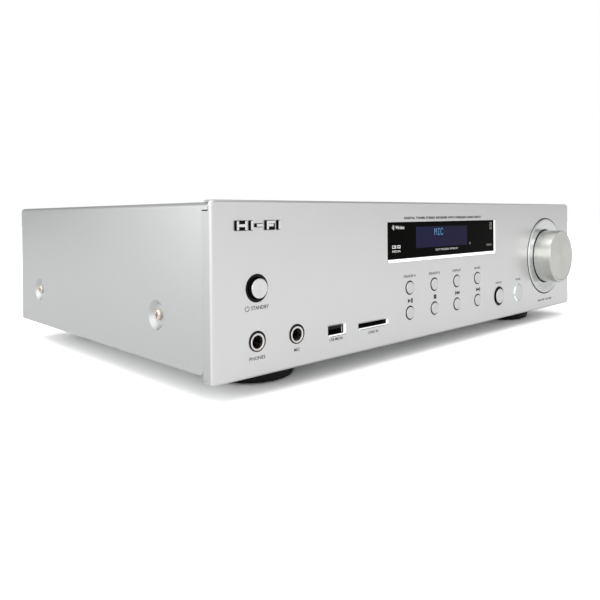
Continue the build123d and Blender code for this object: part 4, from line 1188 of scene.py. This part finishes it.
# Brighter places to the left and to the right: light against the share of that way, and against height.
LEFT_PATCH = (0.45, 0.0), (0.7, 0.2), (0.95, 0.12)
LEFT_HEIGHT = (0.40, 1.0), (0.68, 1.0), (0.74, 0.2)
RIGHT_PATCH = (0.25, 0.0), (0.7, 0.20)
RIGHT_HEIGHT = (0.54, 0.0), (0.585, 1.0), (0.72, 1.0), (0.80, 0.0)


def studio():
    """A white room: evenly bright overhead and at the left front, falling off to the right and behind."""
    world = bpy.data.worlds.new("studio")
    bpy.context.scene.world = world
    world.use_nodes = True
    sky = Graph(world.node_tree)
    sky.nodes.clear()
    across, back, up = sky.axes(sky.add("ShaderNodeTexCoord").outputs["Generated"])
    up = sky.math("ADD", sky.times(up, 0.5), 0.5)
    fall = sky.math("ADD", sky.times(across, SIDE_FALL[0]), sky.times(back, SIDE_FALL[1]))
    level = sky.times(sky.times(sky.ramp(up, SKY_BANDS), sky.math("ADD", fall, 1.0)), sky.ramp(back, BEHIND))
    left = sky.times(sky.ramp(sky.times(across, -1.0), LEFT_PATCH), sky.ramp(up, LEFT_HEIGHT))
    right = sky.times(sky.ramp(across, RIGHT_PATCH), sky.ramp(up, RIGHT_HEIGHT))
    level = sky.math("ADD", sky.math("ADD", level, left), right)
    room = sky.add("ShaderNodeBackground", {"Color": level, "Strength": ROOM_LIGHT})
    white = sky.add("ShaderNodeBackground", {"Color": (1.0, 1.0, 1.0, 1.0), "Strength": 1.0})
    seen = sky.add("ShaderNodeLightPath").outputs["Is Camera Ray"]
    chosen = sky.add("ShaderNodeMixShader", {0: seen, 1: room.outputs[0], 2: white.outputs[0]})
    sky.add("ShaderNodeOutputWorld", {"Surface": chosen.outputs[0]})


SUN_FROM, SOFT_FROM = Vector((-0.9, 0.1, 0.9)), Vector((-0.80, 0.44, 0.18))
LIT_POINT = Vector((-0.15, -0.05, 0.05))


def lamps():
    """A wide overhead sun, and a soft lamp behind the left end."""
    sun = bpy.data.lights.new("overhead", "SUN")
    sun.energy, sun.angle = 0.6, math.radians(60)
    soft = bpy.data.lights.new("left_rear", "AREA")
    soft.shape, soft.size, soft.size_y = "RECTANGLE", 0.3, 0.5
    soft.energy = 0.55
    for light, start in ((sun, SUN_FROM), (soft, SOFT_FROM)):
        carrier = add_object(light.name, light)
        carrier.location = start
        carrier.rotation_euler = (LIT_POINT - start).to_track_quat("-Z", "Y").to_euler()


def floor():
    mesh = bmesh.new()
    bmesh.ops.create_circle(mesh, cap_ends=True, radius=6.0, segments=96)
    data = bpy.data.meshes.new("floor")
    mesh.to_mesh(data)
    mesh.free()
    finish = Finish("floor", (0.93, 0.93, 0.93), 0.7, Specular_IOR_Level=0.25)
    paper = finish.noise(400.0, detail=2.0)
    finish.paint(paper, (0.83, 0.83, 0.83), (0.85, 0.85, 0.85))
    finish.roughen(finish.noise(90.0, shift=2.0), 0.6, 0.75)
    finish.relief((finish.noise(1.2, shift=4.0), 10.0))
    over = finish.add("ShaderNodeBsdfDiffuse", {"Color": finish.mix(paper, (1.78,) * 3, (1.82,) * 3)})
    seen = finish.add("ShaderNodeLightPath").outputs["Is Camera Ray"]
    both = finish.add("ShaderNodeMixShader", {0: seen, 1: finish.shader.outputs[0], 2: over.outputs[0]})
    finish.links.new(both.outputs[0], finish.nodes["Material Output"].inputs["Surface"])
    data.materials.append(finish.material)
    made = add_object("floor", data)


LENS, SENSOR, SHIFT = 36.654, 36.0, (-0.00146, -0.13607)
EYE = (-350.2, -231.2, 77.7)  # from the middle of the panel's face, at the datum
YAW, PITCH, ROLL = 0.754313, -0.0045985, -0.0086601


def camera():
    """Eye level with the top edge, left of the front, turned towards the panel."""
    data = bpy.data.cameras.new("camera")
    data.lens, data.sensor_width = LENS, SENSOR
    data.shift_x, data.shift_y = SHIFT
    carrier = add_object("camera", data)
    carrier.location = Vector(((panel_low.x + panel_high.x) / 2, panel_low.y, DATUM)) + Vector(EYE) * MM
    turn = Matrix.Rotation(-YAW, 3, "Z") @ Matrix.Rotation(math.pi / 2 + PITCH, 3, "X")
    carrier.rotation_euler = (turn @ Matrix.Rotation(ROLL, 3, "Z")).to_euler()
    bpy.context.scene.camera = carrier
    bpy.context.scene.view_settings.view_transform = "Standard"


# ---- putting it together ----
MAKERS = (
    panel_aluminium, cover_paint, bare_steel, rear_paint, screw_steel, smoked_acrylic, badge_chrome,
    cap_silver, board, extruded_aluminium, transformer_iron, capacitor_sleeve, cable_grey, foot_rubber,
    polished_edge, white_ink,
)
FINISHES = {make.__name__: make() for make in MAKERS}
FINISHES |= {name: moulded(name, *values) for name, values in MOULDED.items()}
FINISHES |= {name: plated(name, *values) for name, values in PLATED.items()}


def dress_frame():
    """Every CAD node that stays gets the finish of its slot."""
    for name, node in frame["nodes"].items():
        finish = FINISHES.get(SLOT_OF[name], FINISHES["gloss_black"])
        node.material_slots[0].material = finish.material


def face_radius(node):
    """The radius that shows of a button whose flange stands out behind the panel."""
    return radius_of(node) - CAP_FLANGE


def turned_parts():
    """The knob and its ring, every button, and the rings round the three largest."""
    volume_knob()
    volume_ring()
    small, large, selector = map(face_radius, ("play_button", "pair_button", "input_button"))
    standby = face_radius("standby_button") - 0.3
    silver, black = FINISHES["cap_silver"], FINISHES["gloss_black"]
    for key in ("speaker_a", "speaker_b", "display", "band", "play", "stop", "previous", "next"):
        centre = cap(key + "_button", key + "_key", silver, 0.1, small - 0.1)
        shade_lining(key + "_gap", centre, gap_shade_outline(small - 0.05, small + 0.6, 0.02, GAP_DEEP))
    cap("input_button", "input_key", silver, 0.1, selector, 0.3)
    cap("pair_button", "pair_key", silver, 0.1, large)
    spun = turned_metal("cap_aluminium", (0.84, 0.84, 0.84), on_axis("standby_button"), 0.2, 0.05, 1.2)
    cap("standby_button", "standby_cap", spun, 0.15, standby, 0.6, 0.6)
    bezel("standby_ring", black, standby + 0.3, 0.0)
    bezel("input_ring", black, selector + 0.1, 0.05)
    light = on_axis("pair_light_ring")
    bezel("pair_light_ring", lit_ring(light), large + 0.2, -0.1)
    wide = radius_of("pair_light_ring") - RING_FLANGE
    collar = tube(wide - 0.2, wide + 0.1, 0.3, -0.14)
    turned_piece("pair_collar", light, collar, 96, silver)


camera()
studio()
lamps()
floor()
dress_frame()
turned_parts()
jack_lips()
mouth_edges()
usb_socket()
badge_painted_shadow()
rear_prints()
phono_shells()
aerial_thread()
rear_contacts()
rocker_marks()
front_prints()
display()
window_prints()
window_edges()
remote_sensor()
